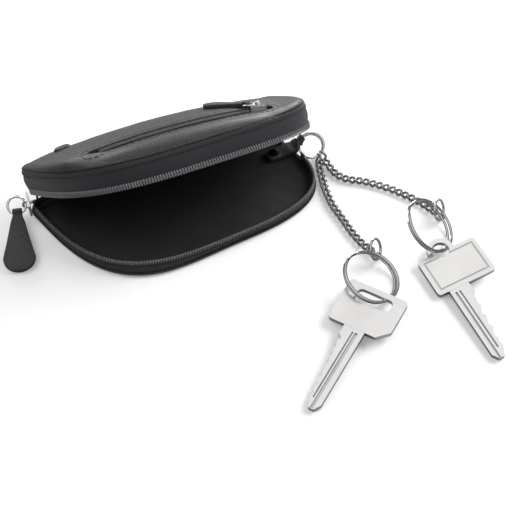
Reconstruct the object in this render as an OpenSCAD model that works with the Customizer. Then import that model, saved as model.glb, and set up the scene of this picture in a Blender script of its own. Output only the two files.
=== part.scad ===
/* [Case outline] */
// Length of the case along its hinge
case_l = 112; // [104:1:120]
// Depth from the widest line to the front edge
front_d = 43.5; // [40:0.5:48]
// Depth from the widest line to the rear edge
rear_d = 9; // [8:0.5:11]
// Squareness of the front corners, where 2 is an ellipse
front_squareness = 3.2; // [2.6:0.1:3.8]
// Squareness of the rear corners, where 2 is an ellipse
rear_squareness = 3.3; // [2.8:0.1:3.8]
// How far the outline leans to the left, as a share of its depth
lean_share = -0.35; // [-0.4:0.05:-0.2]
// How much shallower the right end is, as a share of the depth
taper_share = -0.25; // [-0.3:0.05:-0.1]

/* [Case section] */
// Height of the plane where the two halves meet
parting_h = 6.5; // [6.3:0.1:7.5]
// Height from that plane to the edge of the upper leather
upper_wall_h = 8.3; // [7.8:0.1:9.5]
// Straight height of the upper leather's edge
upper_edge_h = 1.4; // [1.2:0.1:1.8]
// Rise of the upper leather from its edge to its crown
crown_rise = 8.2; // [7.6:0.1:9]
// Width of the rounded edge of the upper leather
shoulder_w = 9; // [8:0.5:10]
// Radius of the crown along the case
crown_r = 330; // [300:5:400]
// How far left of the middle the crown is highest
crown_shift = 8; // [6:0.5:10]
// Half length of the spine that the crown runs in to
spine_half_l = 30; // [27:1:32]
// Angle at which the case lies open
open_angle = 38; // [34:1:44]
// Gap between the two rows of teeth when the case is shut
shut_gap = 0.3; // [0.2:0.05:0.5]
// Distance from the rear edge to the hinge line
hinge_gap = 0.5; // [0.4:0.1:0.8]

/* [Leather and lining] */
// Thickness of the leather
leather_t = 1.2; // [1:0.1:1.4]
// Height of the turned-up edge of the lower leather
lower_rim_h = 2.8; // [2.4:0.1:3]
// Width of the rounded lower edge
lower_round_w = 3.6; // [3.2:0.1:4.5]
// Thickness of the lining
lining_t = 0.5; // [0.4:0.1:0.6]
// Depth of the pocket's room under the crown
pocket_room = 7.2; // [6.8:0.1:8]

/* [Main zip] */
// Thickness of the zip tape
tape_t = 0.6; // [0.5:0.05:0.7]
// Pitch of the teeth
tooth_pitch = 1.5; // [1.3:0.1:1.8]
// Width of one tooth along the row
tooth_w = 0.8; // [0.6:0.05:0.9]
// Height of a tooth across the row
tooth_h = 2.8; // [2.4:0.1:3]
// How far a tooth stands off the tape
tooth_t = 0.7; // [0.5:0.05:0.8]
// Length of the metal stop at the end of each row
stop_l = 2.4; // [2:0.1:3]
// Length of the slider
slider_l = 8.4; // [8:0.1:9.2]
// Height of the slider
slider_h = 6.2; // [5.6:0.1:6.6]
// Thickness of each plate of the slider
slider_t = 0.9; // [0.7:0.05:1.1]
// Travel of the slider to the first teeth
slider_travel = 2.4; // [1.6:0.1:2.6]

/* [Pulls] */
// Diameter of the wire of both pull rings
pull_wire = 1; // [0.8:0.05:1.1]
// Radius of the main pull ring to the middle of its wire
pull_ring_r = 3.7; // [3.4:0.1:4]
// Length of the main leather pull
pull_l = 28; // [24:0.5:31]
// Width of the main leather pull near its round end
pull_w = 13; // [11:0.5:14]
// Width of the main leather pull at its ring
pull_neck_w = 5; // [4.4:0.1:5.2]
// Thickness of both leather pulls
pull_t = 1.8; // [1.4:0.1:2]
// Length of the pocket's leather pull
pocket_pull_l = 20; // [17:0.5:22]
// Width of the pocket's leather pull
pocket_pull_w = 8; // [7:0.5:9]

/* [Pocket zip] */
// Distance of the pocket zip in front of the middle
pocket_y = 12.5; // [11.5:0.5:13]
// Left end of the pocket slit
pocket_left = 38; // [34:1:39]
// Right end of the pocket slit
pocket_right = 38; // [37:0.5:39]
// Width of the slit in the leather
slit_w = 4.4; // [4.2:0.1:4.8]
// Width of the pocket's row of teeth
pocket_coil_w = 2.6; // [2.2:0.1:2.8]
// Pitch of the pocket's teeth
pocket_pitch = 1.2; // [1:0.1:1.4]
// Width of the pocket's zip tape
pocket_tape_w = 5.6; // [5.4:0.1:6.2]
// Length of the pocket's slider
pocket_slider_l = 6.4; // [6:0.1:6.6]
// Where the pocket's slider stands, right of the middle
pocket_slider_x = 32; // [28:0.5:32.5]

/* [Stud] */
// Diameter of the stud's cap
stud_d = 7.4; // [6:0.2:8]
// Height of the stud's cap
stud_h = 1.1; // [0.8:0.1:1.4]
// Diameter of the stud's shank
stud_shank_d = 2.4; // [2:0.1:3]

/* [Ring strap] */
// Width of the strap that holds the ring
strap_w = 6; // [5:0.2:6.6]
// Diameter of the strap's rivets
rivet_d = 4.6; // [4:0.1:5]
// Radius of the strap's ring to the middle of its wire
strap_ring_r = 5.3; // [5.2:0.1:5.6]
// Thickness of the strap's ring along its radius
strap_ring_t = 0.8; // [0.7:0.05:0.9]
// Height of the two turns of the strap's ring
strap_ring_h = 1.2; // [1:0.05:1.3]

/* [Chains] */
// Diameter of the wire of a link
link_wire = 0.8; // [0.7:0.02:0.84]
// Distance from one link to the next
link_pitch = 2.95; // [2.85:0.01:3]
// Half width of a link to the middle of its wire
link_half_w = 1.25; // [1.2:0.01:1.35]
// Play between two links
link_play = 0.08; // [0.05:0.01:0.12]
// Radius of the jump rings to the middle of their wire
jump_r = 4.2; // [4:0.1:4.4]
// Diameter of the wire of the jump rings
jump_wire = 1; // [0.8:0.05:1.1]

/* [Key rings] */
// Radius of a key ring to the middle of its wire
key_ring_r = 11.3; // [11:0.1:11.6]
// Thickness of a key ring along its radius
key_ring_t = 1.2; // [1:0.05:1.3]
// Height of the two turns of a key ring
key_ring_h = 1.5; // [1.3:0.05:1.6]

/* [Keys] */
// Thickness of a key's bow
bow_t = 2.1; // [1.9:0.05:2.2]
// Thickness of a key's blade
blade_t = 2; // [1.8:0.05:2.1]
// Height of a key's blade
blade_h = 8.7; // [8:0.1:9]
// Depth of the grooves in a key's blade
groove_t = 0.45; // [0.3:0.05:0.6]
// Corner radius of a key's bow
bow_corner_r = 1.6; // [1:0.1:2]

/* [Hidden] */

leather_tint = [0.16, 0.16, 0.17];
lining_tint = [0.07, 0.07, 0.08];
tape_tint = [0.2, 0.21, 0.23];
tooth_tint = [0.36, 0.37, 0.39];
silver_tint = [0.85, 0.85, 0.86];
gunmetal_tint = [0.45, 0.45, 0.46];
key_tint = [0.88, 0.88, 0.86];

// Overrun of every cut past the face it opens
cut = 0.5;
// Clear gap between pieces that move past each other
running_gap = 0.3;
rim_steps = 96;
shoulder_steps = 6;

// Shares of the pieces that carry them, and sizes of their small features
core_share = 0.25;
bar_share = 0.7;
wrap_share = 0.6;
bar_thick_share = 1.06;
crown_step = 5.6;
plateau_shares = [0.35, 0.7, 0.93];
spine_x = -3;
seat_gap = 0.1;

stud_turn = -238;
stud_k = 8.5;
washer_t = tape_t;
stud_shank_l = leather_t + 2 * washer_t + 5 * seat_gap;

pocket_tape_top = -leather_t - 4 * seat_gap;
pocket_teeth_top = pocket_tape_top + tooth_t;
pocket_tooth_w = 0.55 * pocket_pitch;
pocket_stop_l = 1.5 * pocket_pitch;
pocket_slider_play = 0.2;
pocket_slider_w = slit_w - 2 * pocket_slider_play;
pocket_slider_top = slider_t + seat_gap;
flange_t = 0.45;
pocket_bag_w = 32.5;
pocket_bail_r = 1.9;
pocket_bail_wire = 0.7;
pocket_ring_lift = pocket_slider_top + (pocket_bail_r - pocket_bail_wire / 2) / 2;
pocket_wire = 0.8 * pull_wire;
pocket_ring_r = 0.84 * pull_ring_r;
pocket_neck_w = 0.4 * pocket_pull_w;
pocket_pull_turn = 131;
pocket_pull_tip = 1;
pocket_tab_tip = -1;

slider_outer_k = 0.1;
slider_back = 1.2;
slider_nose = 0.6;
post_l = 0.9;
post_h = 1.2;
bail_r = 2.2;
bail_wire = 0.8;
pull_turn = -13;
pull_tip = 36;
pull_rest = 7.3;

strap_t = leather_t;
strap_turn = -3;
rivet_turn = -1;
rivet_k = 9.5;
strap_ring_lean = 36;
strap_ring_turn = -21.5;
tunnel_turn = 155;
strap_reach = 1.2;
tunnel_w_share = 0.7;

// Headings along each chain, with the share of the chain that lies behind
links_a = 20;
links_b = 21;
route_a_shares = [[0, -107], [0.25, -101], [0.4, -93], [0.53, -82], [0.67, -86], [0.79, -78], [0.9, -70],
                  [1, -62]];
route_b_shares = [[0, -83], [0.16, -79], [0.25, -50], [0.33, -25], [0.43, -40], [0.53, -43], [0.64, -51],
                  [0.74, -54], [0.83, -60], [0.9, -74], [0.96, -68], [1, -60]];
chain_a_turn = -56;
chain_b_turn = -38;
jump_lean = 28;
jump_a_turn = 227;
jump_b_turn = 225;
ring_a_lean = 21.6;
ring_a_turn = 57.4;
ring_a_at = 0;
ring_a_reach_share = 0.5;
ring_a_aside_share = 0;
ring_b_lean = 36.7;
ring_b_turn = 58.2;
ring_b_at = -34;
ring_b_reach_share = 0.2;
ring_b_aside_share = 0.25;

// Keys: sizes of each pattern
key_a_l = 57.4;
key_a_bow_w = 25;
key_a_bow_l = 20;
key_a_hole_x = 5.5;
key_a_hole_l = 6;
key_a_hole_w = 15;
key_a_spine = 3.6;
key_a_chamfer = 4.6;
cuts_a_shares = [0.1, 0.2, 0.14, 0.26, 0.18, 0.3, 0.2, 0.27, 0.33, 0.24, 0.36, 0.28, 0.4, 0.34];
key_b_l = 57.4;
key_b_bow_w = 25.7;
key_b_bow_l = 17.4;
key_b_shift = 1.75;
key_b_spine = -6.6;
key_b_hole_d = 6.9;
lug_w = 11;
lug_l = 6.2;
cuts_b_shares = [0.12, 0.2, 0.1, 0.24, 0.3, 0.18, 0.26, 0.34, 0.22, 0.32, 0.4, 0.28, 0.38, 0.3];
stub_l = 6;
stub_step = 1.6;
tip_shares = [[0, 0.45], [0, 0.2], [0.3, 0]];
grooves_a_shares = [[0.31, 0.14, 0], [0.48, 0.07, 0.5]];
grooves_b_shares = [[-0.24, 0.1, 0], [-0.43, 0.08, 0.5]];
frame_in = 1.8;
frame_w = 0.7;

// Place of each key round its ring, and how it is turned in the frame of that place
key_a_at = 194;
key_a_tilt = [24.2, 10.2, -30.9];
key_b_at = 219;
key_b_tilt = [39, -18.7, -8.4];

// Outline of the case, seen from above

mid_shift = (front_d - rear_d) / 2;

function signed_pow(v, e) = sign(v) * pow(abs(v), e);
// Each quarter is a superellipse, tapered to the right and leaned to the left
function outline_point(a) =
    let (front = sin(a) < 0,
         e = 2 / (front ? front_squareness : rear_squareness),
         u = case_l / 2 * signed_pow(cos(a), e),
         v = (front ? front_d : rear_d) * signed_pow(sin(a), e) * (1 + taper_share * u / case_l) + mid_shift)
    [u + lean_share * v, v];

// The outline runs from the middle of the rear edge by the left end, the front and the right end
outline_start = -270;
outline_fine = [for (a = [outline_start:1:outline_start + 360]) outline_point(a)];
outline_run = [for (i = 0, s = 0; i < len(outline_fine); i = i + 1,
                    s = s + (i < len(outline_fine) ? norm(outline_fine[i] - outline_fine[i - 1]) : 0)) s];
outline_len = outline_run[len(outline_run) - 1];
outline_x = [for (i = [0:len(outline_run) - 1]) [outline_run[i], outline_fine[i][0]]];
outline_y = [for (i = [0:len(outline_run) - 1]) [outline_run[i], outline_fine[i][1]]];
outline_turn = [for (i = [0:len(outline_run) - 1]) [outline_start + i, outline_run[i]]];
function wrap_run(s) = s - outline_len * floor(s / outline_len);
function along(s) = let (w = wrap_run(s)) [lookup(w, outline_x), lookup(w, outline_y)];
function forward(s) = let (d = along(s + tooth_pitch) - along(s - tooth_pitch)) d / norm(d);
function inward(s) = let (d = forward(s)) [-d[1], d[0]];
// Point at the run s of the outline, k inside it
function inset_point(s, k) = along(s) + k * inward(s);
// Run of the outline at one of its turning angles, and the same in whole steps of the rim
function run_at(a) = lookup(a, outline_turn);
function step_at(a) = round(run_at(a) / outline_len * rim_steps);
function rim_point(i, k) = inset_point(i * outline_len / rim_steps, k);

rear_y = max([for (p = outline_fine) p[1]]);
hinge_y = rear_y + hinge_gap;

// Sections of the walls, as distances inside the outline

tape_k = leather_t;
lining_k = tape_k + tape_t;
slider_inner_k = lining_k + 4.5 * running_gap;
// Tape edge stands back from the parting plane by this share of a tooth's height
tape_set_back = 0.32 * tooth_h;
upper_edge_z = parting_h + upper_wall_h;
shoulder_z = upper_edge_z + upper_edge_h;
crown_z = upper_edge_z + crown_rise;
crown_least_z = shoulder_z + 1.5 * leather_t;
lining_wall_h = lower_rim_h + lining_t / 2;
upper_lining_edge_z = parting_h + slider_h / 2;
upper_lining_shoulder_z = upper_lining_edge_z + lower_rim_h;

// Turning angles of the outline at which things begin and end
slider_turn = -188.8;
tape_start_turn = -222;
strap_front_turn = -9;
tape_end_turn = 3;

slider_run = run_at(slider_turn);
teeth_start_run = slider_run + slider_travel + 0.05 * slider_l;
lower_teeth_end_run = run_at(strap_front_turn) - tooth_pitch;
upper_teeth_end_run = lower_teeth_end_run + tooth_pitch;
left_pole = step_at(-180);
tape_start = step_at(tape_start_turn);
lower_tape_end = step_at(strap_front_turn);
upper_tape_end = step_at(tape_end_turn);
gusset_start = upper_tape_end;
gusset_end = rim_steps + tape_start;

// Skin of a solid whose sections are rings of points; both ends are closed across the case
module skin(rings) {
    m = len(rings[0]);
    n = len(rings);
    walls = [for (j = [0:n - 2], i = [0:m - 1])
             let (k = (i + 1) % m)
             each [[j * m + i, (j + 1) * m + i, (j + 1) * m + k], [j * m + i, (j + 1) * m + k, j * m + k]]];
    function across(j) = [(left_pole - j + m) % m, (left_pole - j - 1 + m) % m,
                          (left_pole + j + 1) % m, (left_pole + j) % m];
    foot = [for (j = [0:m / 2 - 1]) let (q = across(j)) each [[q[0], q[2], q[1]], [q[0], q[3], q[2]]]];
    head = [for (f = foot) [for (i = [2:-1:0]) f[i] + (n - 1) * m]];
    faces = [for (f = concat(walls, foot, head)) if (f[0] != f[1] && f[1] != f[2] && f[2] != f[0]) f];
    polyhedron([for (r = rings) each r], faces, convexity = 6);
}

// Tube along a path whose cross-sections are rings of points, turned left about the way it goes
module tube(rings, closed) {
    m = len(rings[0]);
    n = len(rings);
    last = closed ? n - 1 : n - 2;
    walls = [for (j = [0:last], i = [0:m - 1])
             let (k = (i + 1) % m, q = (j + 1) % n)
             each [[j * m + i, q * m + i, q * m + k], [j * m + i, q * m + k, j * m + k]]];
    start = [for (q = [0:m / 2 - 2]) each [[q, q + 1, m - 1 - q], [q + 1, m - 2 - q, m - 1 - q]]];
    finish = [for (f = start) [for (i = [2:-1:0]) f[i] + (n - 1) * m]];
    caps = closed ? [] : concat(start, finish);
    polyhedron([for (r = rings) each r], concat(walls, caps), convexity = 6);
}

// Wall that follows the outline from step i0 to step i1, between two distances inside it
module wall(i0, i1, k0, k1, z0, z1) {
    translate([0, 0, z0]) linear_extrude(z1 - z0)
        polygon(concat([for (i = [i0:i1]) rim_point(i, k0)], [for (i = [i1:-1:i0]) rim_point(i, k1)]));
}

// Ring of the case at a distance inside the outline and a height
function level_ring(k, z) = [for (i = [0:rim_steps - 1]) let (p = rim_point(i, k)) [p[0], p[1], z]];

// Places what is modelled in the shut upper half at the angle at which the case lies open
module opened() {
    translate([0, hinge_y, parting_h]) rotate([-open_angle, 0, 0]) translate([0, -hinge_y, -parting_h])
        children();
}
function opened_point(p) =
    let (y = p[1] - hinge_y, z = p[2] - parting_h, c = cos(open_angle), s = sin(open_angle))
    [p[0], hinge_y + c * y + s * z, parting_h - s * y + c * z];

// Row of teeth on the outside of the tape, from one run of the outline to another
module teeth_row(run0, run1, z0) {
    count = floor((run1 - run0) / tooth_pitch);
    core_k = tape_k - core_share * tooth_t;
    step = outline_len / rim_steps;
    run_end = run0 + count * tooth_pitch;
    outer = [for (i = [0:count - 1], q = [0:3])
             inset_point(run0 + (i + 0.5) * tooth_pitch + (q < 2 ? -0.5 : 0.5) * tooth_w,
                         (q == 0 || q == 3) ? core_k : tape_k - tooth_t)];
    inner = [for (i = [floor(run_end / step):-1:ceil(run0 / step)]) rim_point(i, tape_k)];
    translate([0, 0, z0]) linear_extrude(tooth_h)
        polygon(concat([inset_point(run0, core_k)], outer, [inset_point(run_end, core_k)], inner));
}

// Metal stop clamped on the tape where a row of teeth ends
module row_stop(run0, z0) {
    runs = [run0, run0 + stop_l];
    translate([0, 0, z0]) linear_extrude(tooth_h)
        polygon([inset_point(runs[0], tape_k - tooth_t), inset_point(runs[1], tape_k - tooth_t),
                 inset_point(runs[1], tape_k - seat_gap / 2), inset_point(runs[0], tape_k - seat_gap / 2)]);
}

// Frame on the outline: X forward along the zip, Y inward, Z up from the parting plane
module at_rim(s) {
    p = along(s);
    d = forward(s);
    translate([p[0], p[1], parting_h]) rotate([0, 0, atan2(d[1], d[0])]) children();
}

module lower_panel() {
    round_h = lower_rim_h - leather_t / 3;
    round_steps = 4;
    edge = [for (q = [0:round_steps]) let (a = 90 * q / round_steps)
            level_ring(lower_round_w * (1 - sin(a)), round_h * (1 - cos(a)))];
    color(leather_tint)
        skin(concat(edge, [level_ring(0, lower_rim_h), level_ring(leather_t, lower_rim_h),
                           level_ring(leather_t, leather_t)]));
}

module lower_lining() {
    color(lining_tint) {
        translate([0, 0, leather_t]) linear_extrude(lining_t)
            polygon([for (i = [0:rim_steps - 1]) rim_point(i, lining_k)]);
        translate([0, 0, leather_t]) linear_extrude(lining_wall_h - leather_t) difference() {
            polygon([for (i = [0:rim_steps - 1]) rim_point(i, lining_k)]);
            polygon([for (i = [0:rim_steps - 1]) rim_point(i, lining_k + lining_t)]);
        }
    }
}

module lower_tape() {
    color(tape_tint)
        wall(tape_start, lower_tape_end, tape_k, lining_k, leather_t, parting_h - tape_set_back);
}

lower_teeth_z = parting_h - shut_gap / 2 - tooth_h;
upper_teeth_z = parting_h + shut_gap / 2;

module lower_teeth() { color(tooth_tint) teeth_row(teeth_start_run, lower_teeth_end_run, lower_teeth_z); }

module lower_stop() { color(gunmetal_tint) row_stop(lower_teeth_end_run + seat_gap, lower_teeth_z); }

// Section of the gusset at a step of the rim: up its outer face, then down its inner face
function gusset_section(i) =
    let (hems = [[tape_k + seat_gap / 2, 1], [lining_k, -1]],
         lower_z = [leather_t, (leather_t + parting_h) / 2, parting_h - tape_set_back / 2],
         upper_z = [parting_h + tape_set_back, (parting_h + upper_edge_z) / 2, upper_edge_z, shoulder_z])
    [for (h = hems)
     let (p = rim_point(i, h[0]),
          up = concat([for (z = lower_z) [p[0], p[1], z]],
                      [for (z = upper_z) opened_point([p[0], p[1], z])]),
          n = len(up))
     each [for (q = [0:n - 1]) h[1] > 0 ? up[q] : up[n - 1 - q]]];

module spine_gusset() {
    color(leather_tint) tube([for (i = [gusset_end:-1:gusset_start]) gusset_section(i)], false);
}

// Upper half, described as it lies when the case is shut

function spine_near(p) = [max(spine_x - spine_half_l, min(spine_x + spine_half_l, p[0])), 0];
function crown_height(x) = crown_z - (crown_r - sqrt(crown_r * crown_r - pow(x + crown_shift, 2)));
// Point of the dome in plan, k inside the outline and then in towards the spine
function dome_plan(i, k) =
    let (hem = lining_k + lining_t, base = rim_point(i, min(k, hem)), d = spine_near(base) - base)
    k <= hem ? base : base + (k - hem) * d / norm(d);
// Point of the rounded shoulder, at an angle from its edge, whose hem is at the distance k
function shoulder_point(i, a, k, foot_z, drop, least) =
    let (p = dome_plan(i, k + (shoulder_w - k) * (1 - cos(a))),
         top = max(crown_height(p[0]) - drop, least))
    [p[0], p[1], foot_z + (top - foot_z) * sin(a)];
function plateau_point(i, f, drop, least) =
    let (p = dome_plan(i, shoulder_w), q = p + f * (spine_near(p) - p))
    [q[0], q[1], max(crown_height(q[0]) - drop, least)];
function shoulder_rings(k, foot_z, drop, least) =
    [for (q = [0:shoulder_steps]) [for (i = [0:rim_steps - 1])
     shoulder_point(i, 90 * q / shoulder_steps, k, foot_z, drop, least)]];
function plateau_rings(drop, least) =
    [for (f = plateau_shares) [for (i = [0:rim_steps - 1]) plateau_point(i, f, drop, least)]];
function reversed(list) = [for (i = [len(list) - 1:-1:0]) list[i]];
// Shell from its inner face, out round its hem and over its outer face
function shell_rings(hem_k, hem_t, hem_z, foot_z, drop, least) =
    concat(reversed(concat(shoulder_rings(hem_k + hem_t, foot_z, drop + hem_t, least - hem_t),
                           plateau_rings(drop + hem_t, least - hem_t))),
           [level_ring(hem_k + hem_t, hem_z), level_ring(hem_k, hem_z)],
           shoulder_rings(hem_k, foot_z, drop, least), plateau_rings(drop, least));

module upper_panel() {
    color(leather_tint) opened() difference() {
        skin(shell_rings(0, leather_t, upper_edge_z, shoulder_z, 0, crown_least_z));
        translate([-pocket_left, -pocket_y - slit_w / 2, shoulder_z])
            cube([pocket_left + pocket_right, slit_w, crown_rise]);
        at_stud() translate([0, 0, -shoulder_w / 2])
            cylinder(h = shoulder_w, d = stud_shank_d + 2 * seat_gap, $fn = 32);
    }
}

module upper_lining() {
    color(lining_tint) opened()
        skin(shell_rings(lining_k, lining_t, upper_lining_edge_z, upper_lining_shoulder_z, pocket_room,
                         upper_lining_shoulder_z + 2 * lining_t));
}

module upper_tape() {
    color(tape_tint) opened()
        wall(tape_start, upper_tape_end, tape_k, lining_k, parting_h + tape_set_back, shoulder_z);
}

module upper_teeth() {
    color(tooth_tint) opened() teeth_row(teeth_start_run, upper_teeth_end_run, upper_teeth_z);
}

module upper_stop() {
    color(gunmetal_tint) opened() row_stop(upper_teeth_end_run + seat_gap, upper_teeth_z);
}

// Frame on the crown: X along its arc, Z square to it, at a height over the leather
module at_crown(x, y, h) {
    translate([-crown_shift, y, crown_z - crown_r]) rotate([0, asin((x + crown_shift) / crown_r), 0])
        translate([0, 0, crown_r + h]) children();
}

// Strip that follows the crown's arc between two heights over the leather
module crown_strip(x0, x1, y, w, h0, h1) {
    steps = ceil((x1 - x0) / crown_step);
    function arc_point(x, h) =
        let (a = asin((x + crown_shift) / crown_r))
        [-crown_shift + (crown_r + h) * sin(a), crown_z - crown_r + (crown_r + h) * cos(a)];
    translate([0, y + w / 2, 0]) rotate([90, 0, 0]) linear_extrude(w)
        polygon(concat([for (i = [0:steps]) arc_point(x0 + (x1 - x0) * i / steps, h0)],
                       [for (i = [steps:-1:0]) arc_point(x0 + (x1 - x0) * i / steps, h1)]));
}

module pocket_tape() {
    color(tape_tint) opened()
        crown_strip(-pocket_left - tape_t, pocket_right + tape_t, -pocket_y, pocket_tape_w,
                    pocket_tape_top - tape_t, pocket_tape_top);
}

module pocket_teeth() {
    x0 = -pocket_left + slit_w;
    count = floor((pocket_left + pocket_right - 2 * slit_w) / pocket_pitch);
    core_h = core_share * tooth_t;
    color(tooth_tint) opened() {
        crown_strip(x0, x0 + count * pocket_pitch, -pocket_y, pocket_coil_w,
                    pocket_tape_top + seat_gap / 2, pocket_tape_top + core_h);
        for (i = [0:count - 1])
            at_crown(x0 + (i + 0.5) * pocket_pitch, -pocket_y, pocket_tape_top)
                translate([-pocket_tooth_w / 2, -pocket_coil_w / 2, core_h / 2])
                    cube([pocket_tooth_w, pocket_coil_w, tooth_t - core_h / 2]);
    }
}

module pocket_stops() {
    color(gunmetal_tint) opened() for (x = [-pocket_left + slit_w / 2, pocket_right - slit_w / 2])
        at_crown(x, -pocket_y, pocket_tape_top)
            translate([-pocket_stop_l / 2, -pocket_coil_w / 2, 0])
                cube([pocket_stop_l, pocket_coil_w, tooth_t]);
}

module pocket_bag() {
    outer = [pocket_tape_top - tape_t - seat_gap, -pocket_room + seat_gap + 2 * lining_t];
    x0 = -pocket_left + slit_w;
    x1 = pocket_right - slit_w;
    y = -pocket_y - pocket_tape_w / 2 + pocket_bag_w / 2;
    color(lining_tint) opened() difference() {
        crown_strip(x0, x1, y, pocket_bag_w, outer[1], outer[0]);
        crown_strip(x0 + lining_t, x1 - lining_t, y, pocket_bag_w - 2 * lining_t,
                    outer[1] + lining_t, outer[0] - lining_t);
        crown_strip(x0 + 2 * lining_t, x1 - 2 * lining_t, -pocket_y, slit_w,
                    outer[0] - 2 * lining_t, outer[0] + cut);
    }
}

// Frame on the stud's place, with Z square to the leather
stud_run = run_at(stud_turn);
stud_step = stud_run / outline_len * rim_steps;
function leather_point(i, k) =
    let (a = acos(1 - k / shoulder_w)) shoulder_point(i, a, 0, shoulder_z, 0, crown_least_z);
stud_point = leather_point(stud_step, stud_k);
stud_way = cross(leather_point(stud_step, stud_k + leather_t) - stud_point,
                 leather_point(stud_step - 1, stud_k) - stud_point);
stud_normal = stud_way / norm(stud_way);
module at_stud() {
    translate(stud_point) rotate([0, acos(stud_normal[2]), atan2(stud_normal[1], stud_normal[0])])
        children();
}

module stud_cap() {
    color(leather_tint) opened() at_stud() {
        translate([0, 0, seat_gap]) cylinder(h = stud_h, d1 = stud_d, d2 = stud_d - stud_h, $fn = 48);
        translate([0, 0, -stud_shank_l]) cylinder(h = stud_shank_l + stud_h / 2, d = stud_shank_d, $fn = 32);
    }
}

module stud_washer() {
    color(gunmetal_tint) opened() at_stud()
        translate([0, 0, -leather_t - 5 * seat_gap - washer_t]) difference() {
            cylinder(h = washer_t, d = stud_d - stud_h, $fn = 40);
            translate([0, 0, -cut])
                cylinder(h = washer_t + 2 * cut, d = stud_shank_d + 2 * seat_gap, $fn = 32);
        }
}

// Sliders, D rings and leather pulls

// Half ring that stands on a slider, in the XZ plane with its feet at z = 0
module bail(r, wire) {
    translate([0, 0, -wire / 4]) rotate([90, 0, 0]) rotate_extrude(angle = 180, $fn = 32)
        translate([r, 0]) circle(d = wire, $fn = 16);
}

module zip_slider() {
    color(gunmetal_tint) at_rim(slider_run) {
        translate([-slider_l / 2, slider_outer_k - slider_t, -slider_h / 2])
            cube([slider_l, slider_t, slider_h]);
        translate([-slider_back, slider_inner_k, -slider_h / 2])
            cube([slider_back + slider_nose, slider_t, slider_h]);
        translate([-slider_back, slider_outer_k - slider_t / 2, -post_h / 2])
            cube([post_l, slider_inner_k - slider_outer_k + slider_t, post_h]);
        translate([0, slider_outer_k - slider_t, 0]) rotate([90, 90, 0]) bail(bail_r, bail_wire);
    }
}

// D ring in the XY plane: its arc reaches +X, and its straight bar lies along X on the -Y side
module d_ring(r, wire) {
    half_bar = bar_share * r;
    bar_y = -sqrt(r * r - half_bar * half_bar);
    gap_angle = acos(-bar_y / r);
    rotate([0, 0, -90 + gap_angle]) rotate_extrude(angle = 360 - 2 * gap_angle, $fn = 64)
        translate([r, 0]) circle(d = wire, $fn = 20);
    translate([-half_bar - wire / 3, bar_y, 0]) rotate([0, 90, 0])
        cylinder(h = 2 * half_bar + 2 * wire / 3, d = bar_thick_share * wire, $fn = 24);
}
function bar_drop(r) = sqrt(r * r - pow(bar_share * r, 2));

// Leather pull: tunnel along X for the bar, and a blade that widens along -Y to a round end
module leather_pull(l, w, neck_w, tunnel_l, wire) {
    bore = bar_thick_share * wire + 2 * running_gap;
    tunnel_d = bore + 2 * leather_t * wrap_share;
    start = bore / 2 + leather_t * wrap_share / 2;
    difference() {
        union() {
            translate([-tunnel_l / 2, 0, 0]) rotate([0, 90, 0])
                cylinder(h = tunnel_l, d = tunnel_d, $fn = 40);
            translate([0, 0, -pull_t / 2]) linear_extrude(pull_t) hull() {
                translate([-tunnel_l / 2, -start - pull_t]) square([tunnel_l, pull_t]);
                translate([-neck_w / 2, -l / 4]) square([neck_w, pull_t]);
                translate([0, -l + w / 2]) circle(d = w, $fn = 48);
            }
        }
        translate([-tunnel_l, 0, 0]) rotate([0, 90, 0]) cylinder(h = 2 * tunnel_l, d = bore, $fn = 32);
    }
}

// The main pull's ring hangs in the bail, turned about the vertical and tipped
slider_point = along(slider_run);
bail_reach = -slider_outer_k + slider_t + (bail_r - bail_wire / 2) / 2;
bail_point = concat(slider_point - bail_reach * inward(slider_run), [parting_h]);
pull_way = [cos(pull_turn), sin(pull_turn), 0];
pull_centre = bail_point - pull_ring_r * pull_way;
module at_pull_ring() {
    translate(pull_centre) rotate([0, 0, pull_turn]) rotate([pull_tip, 0, 0]) children();
}

module pull_ring() { color(silver_tint) at_pull_ring() d_ring(pull_ring_r, pull_wire); }

module pull_tab() {
    color(leather_tint) at_pull_ring() translate([0, -bar_drop(pull_ring_r), 0])
        rotate([-pull_tip + pull_rest, 0, 0])
            leather_pull(pull_l, pull_w, pull_neck_w,
                         2 * bar_share * pull_ring_r - pull_wire - running_gap, pull_wire);
}

module pocket_slider() {
    color(gunmetal_tint) opened() at_crown(pocket_slider_x, -pocket_y, 0) {
        translate([-pocket_slider_l / 2, -pocket_slider_w / 2, pocket_teeth_top + running_gap])
            cube([pocket_slider_l, pocket_slider_w, pocket_slider_top - pocket_teeth_top - running_gap]);
        for (side = [-1, 1])
            translate([-pocket_slider_l / 2, side * (pocket_slider_w - flange_t) / 2 - flange_t / 2,
                       pocket_tape_top + running_gap])
                cube([pocket_slider_l, flange_t, pocket_slider_top - pocket_tape_top - running_gap]);
        translate([0, 0, pocket_slider_top]) bail(pocket_bail_r, pocket_bail_wire);
    }
}

// The pocket's ring lies over the leather, and its turn is the way from the bail to the pull
module at_pocket_ring() {
    at_crown(pocket_slider_x, -pocket_y, pocket_ring_lift)
        rotate([0, 0, pocket_pull_turn]) rotate([0, pocket_pull_tip, 0])
            translate([pocket_ring_r, 0, 0]) rotate([0, 0, 90]) children();
}

module pocket_ring() { color(silver_tint) opened() at_pocket_ring() d_ring(pocket_ring_r, pocket_wire); }

module pocket_tab() {
    color(leather_tint) opened() at_pocket_ring() translate([0, -bar_drop(pocket_ring_r), 0])
        rotate([pocket_tab_tip, 0, 0])
            leather_pull(pocket_pull_l, pocket_pull_w, pocket_neck_w,
                         2 * bar_share * pocket_ring_r - pocket_wire - running_gap, pocket_wire);
}

// Ring strap: two layers of leather from a rivet, over the lower edge, to a curved tunnel for the ring

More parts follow.
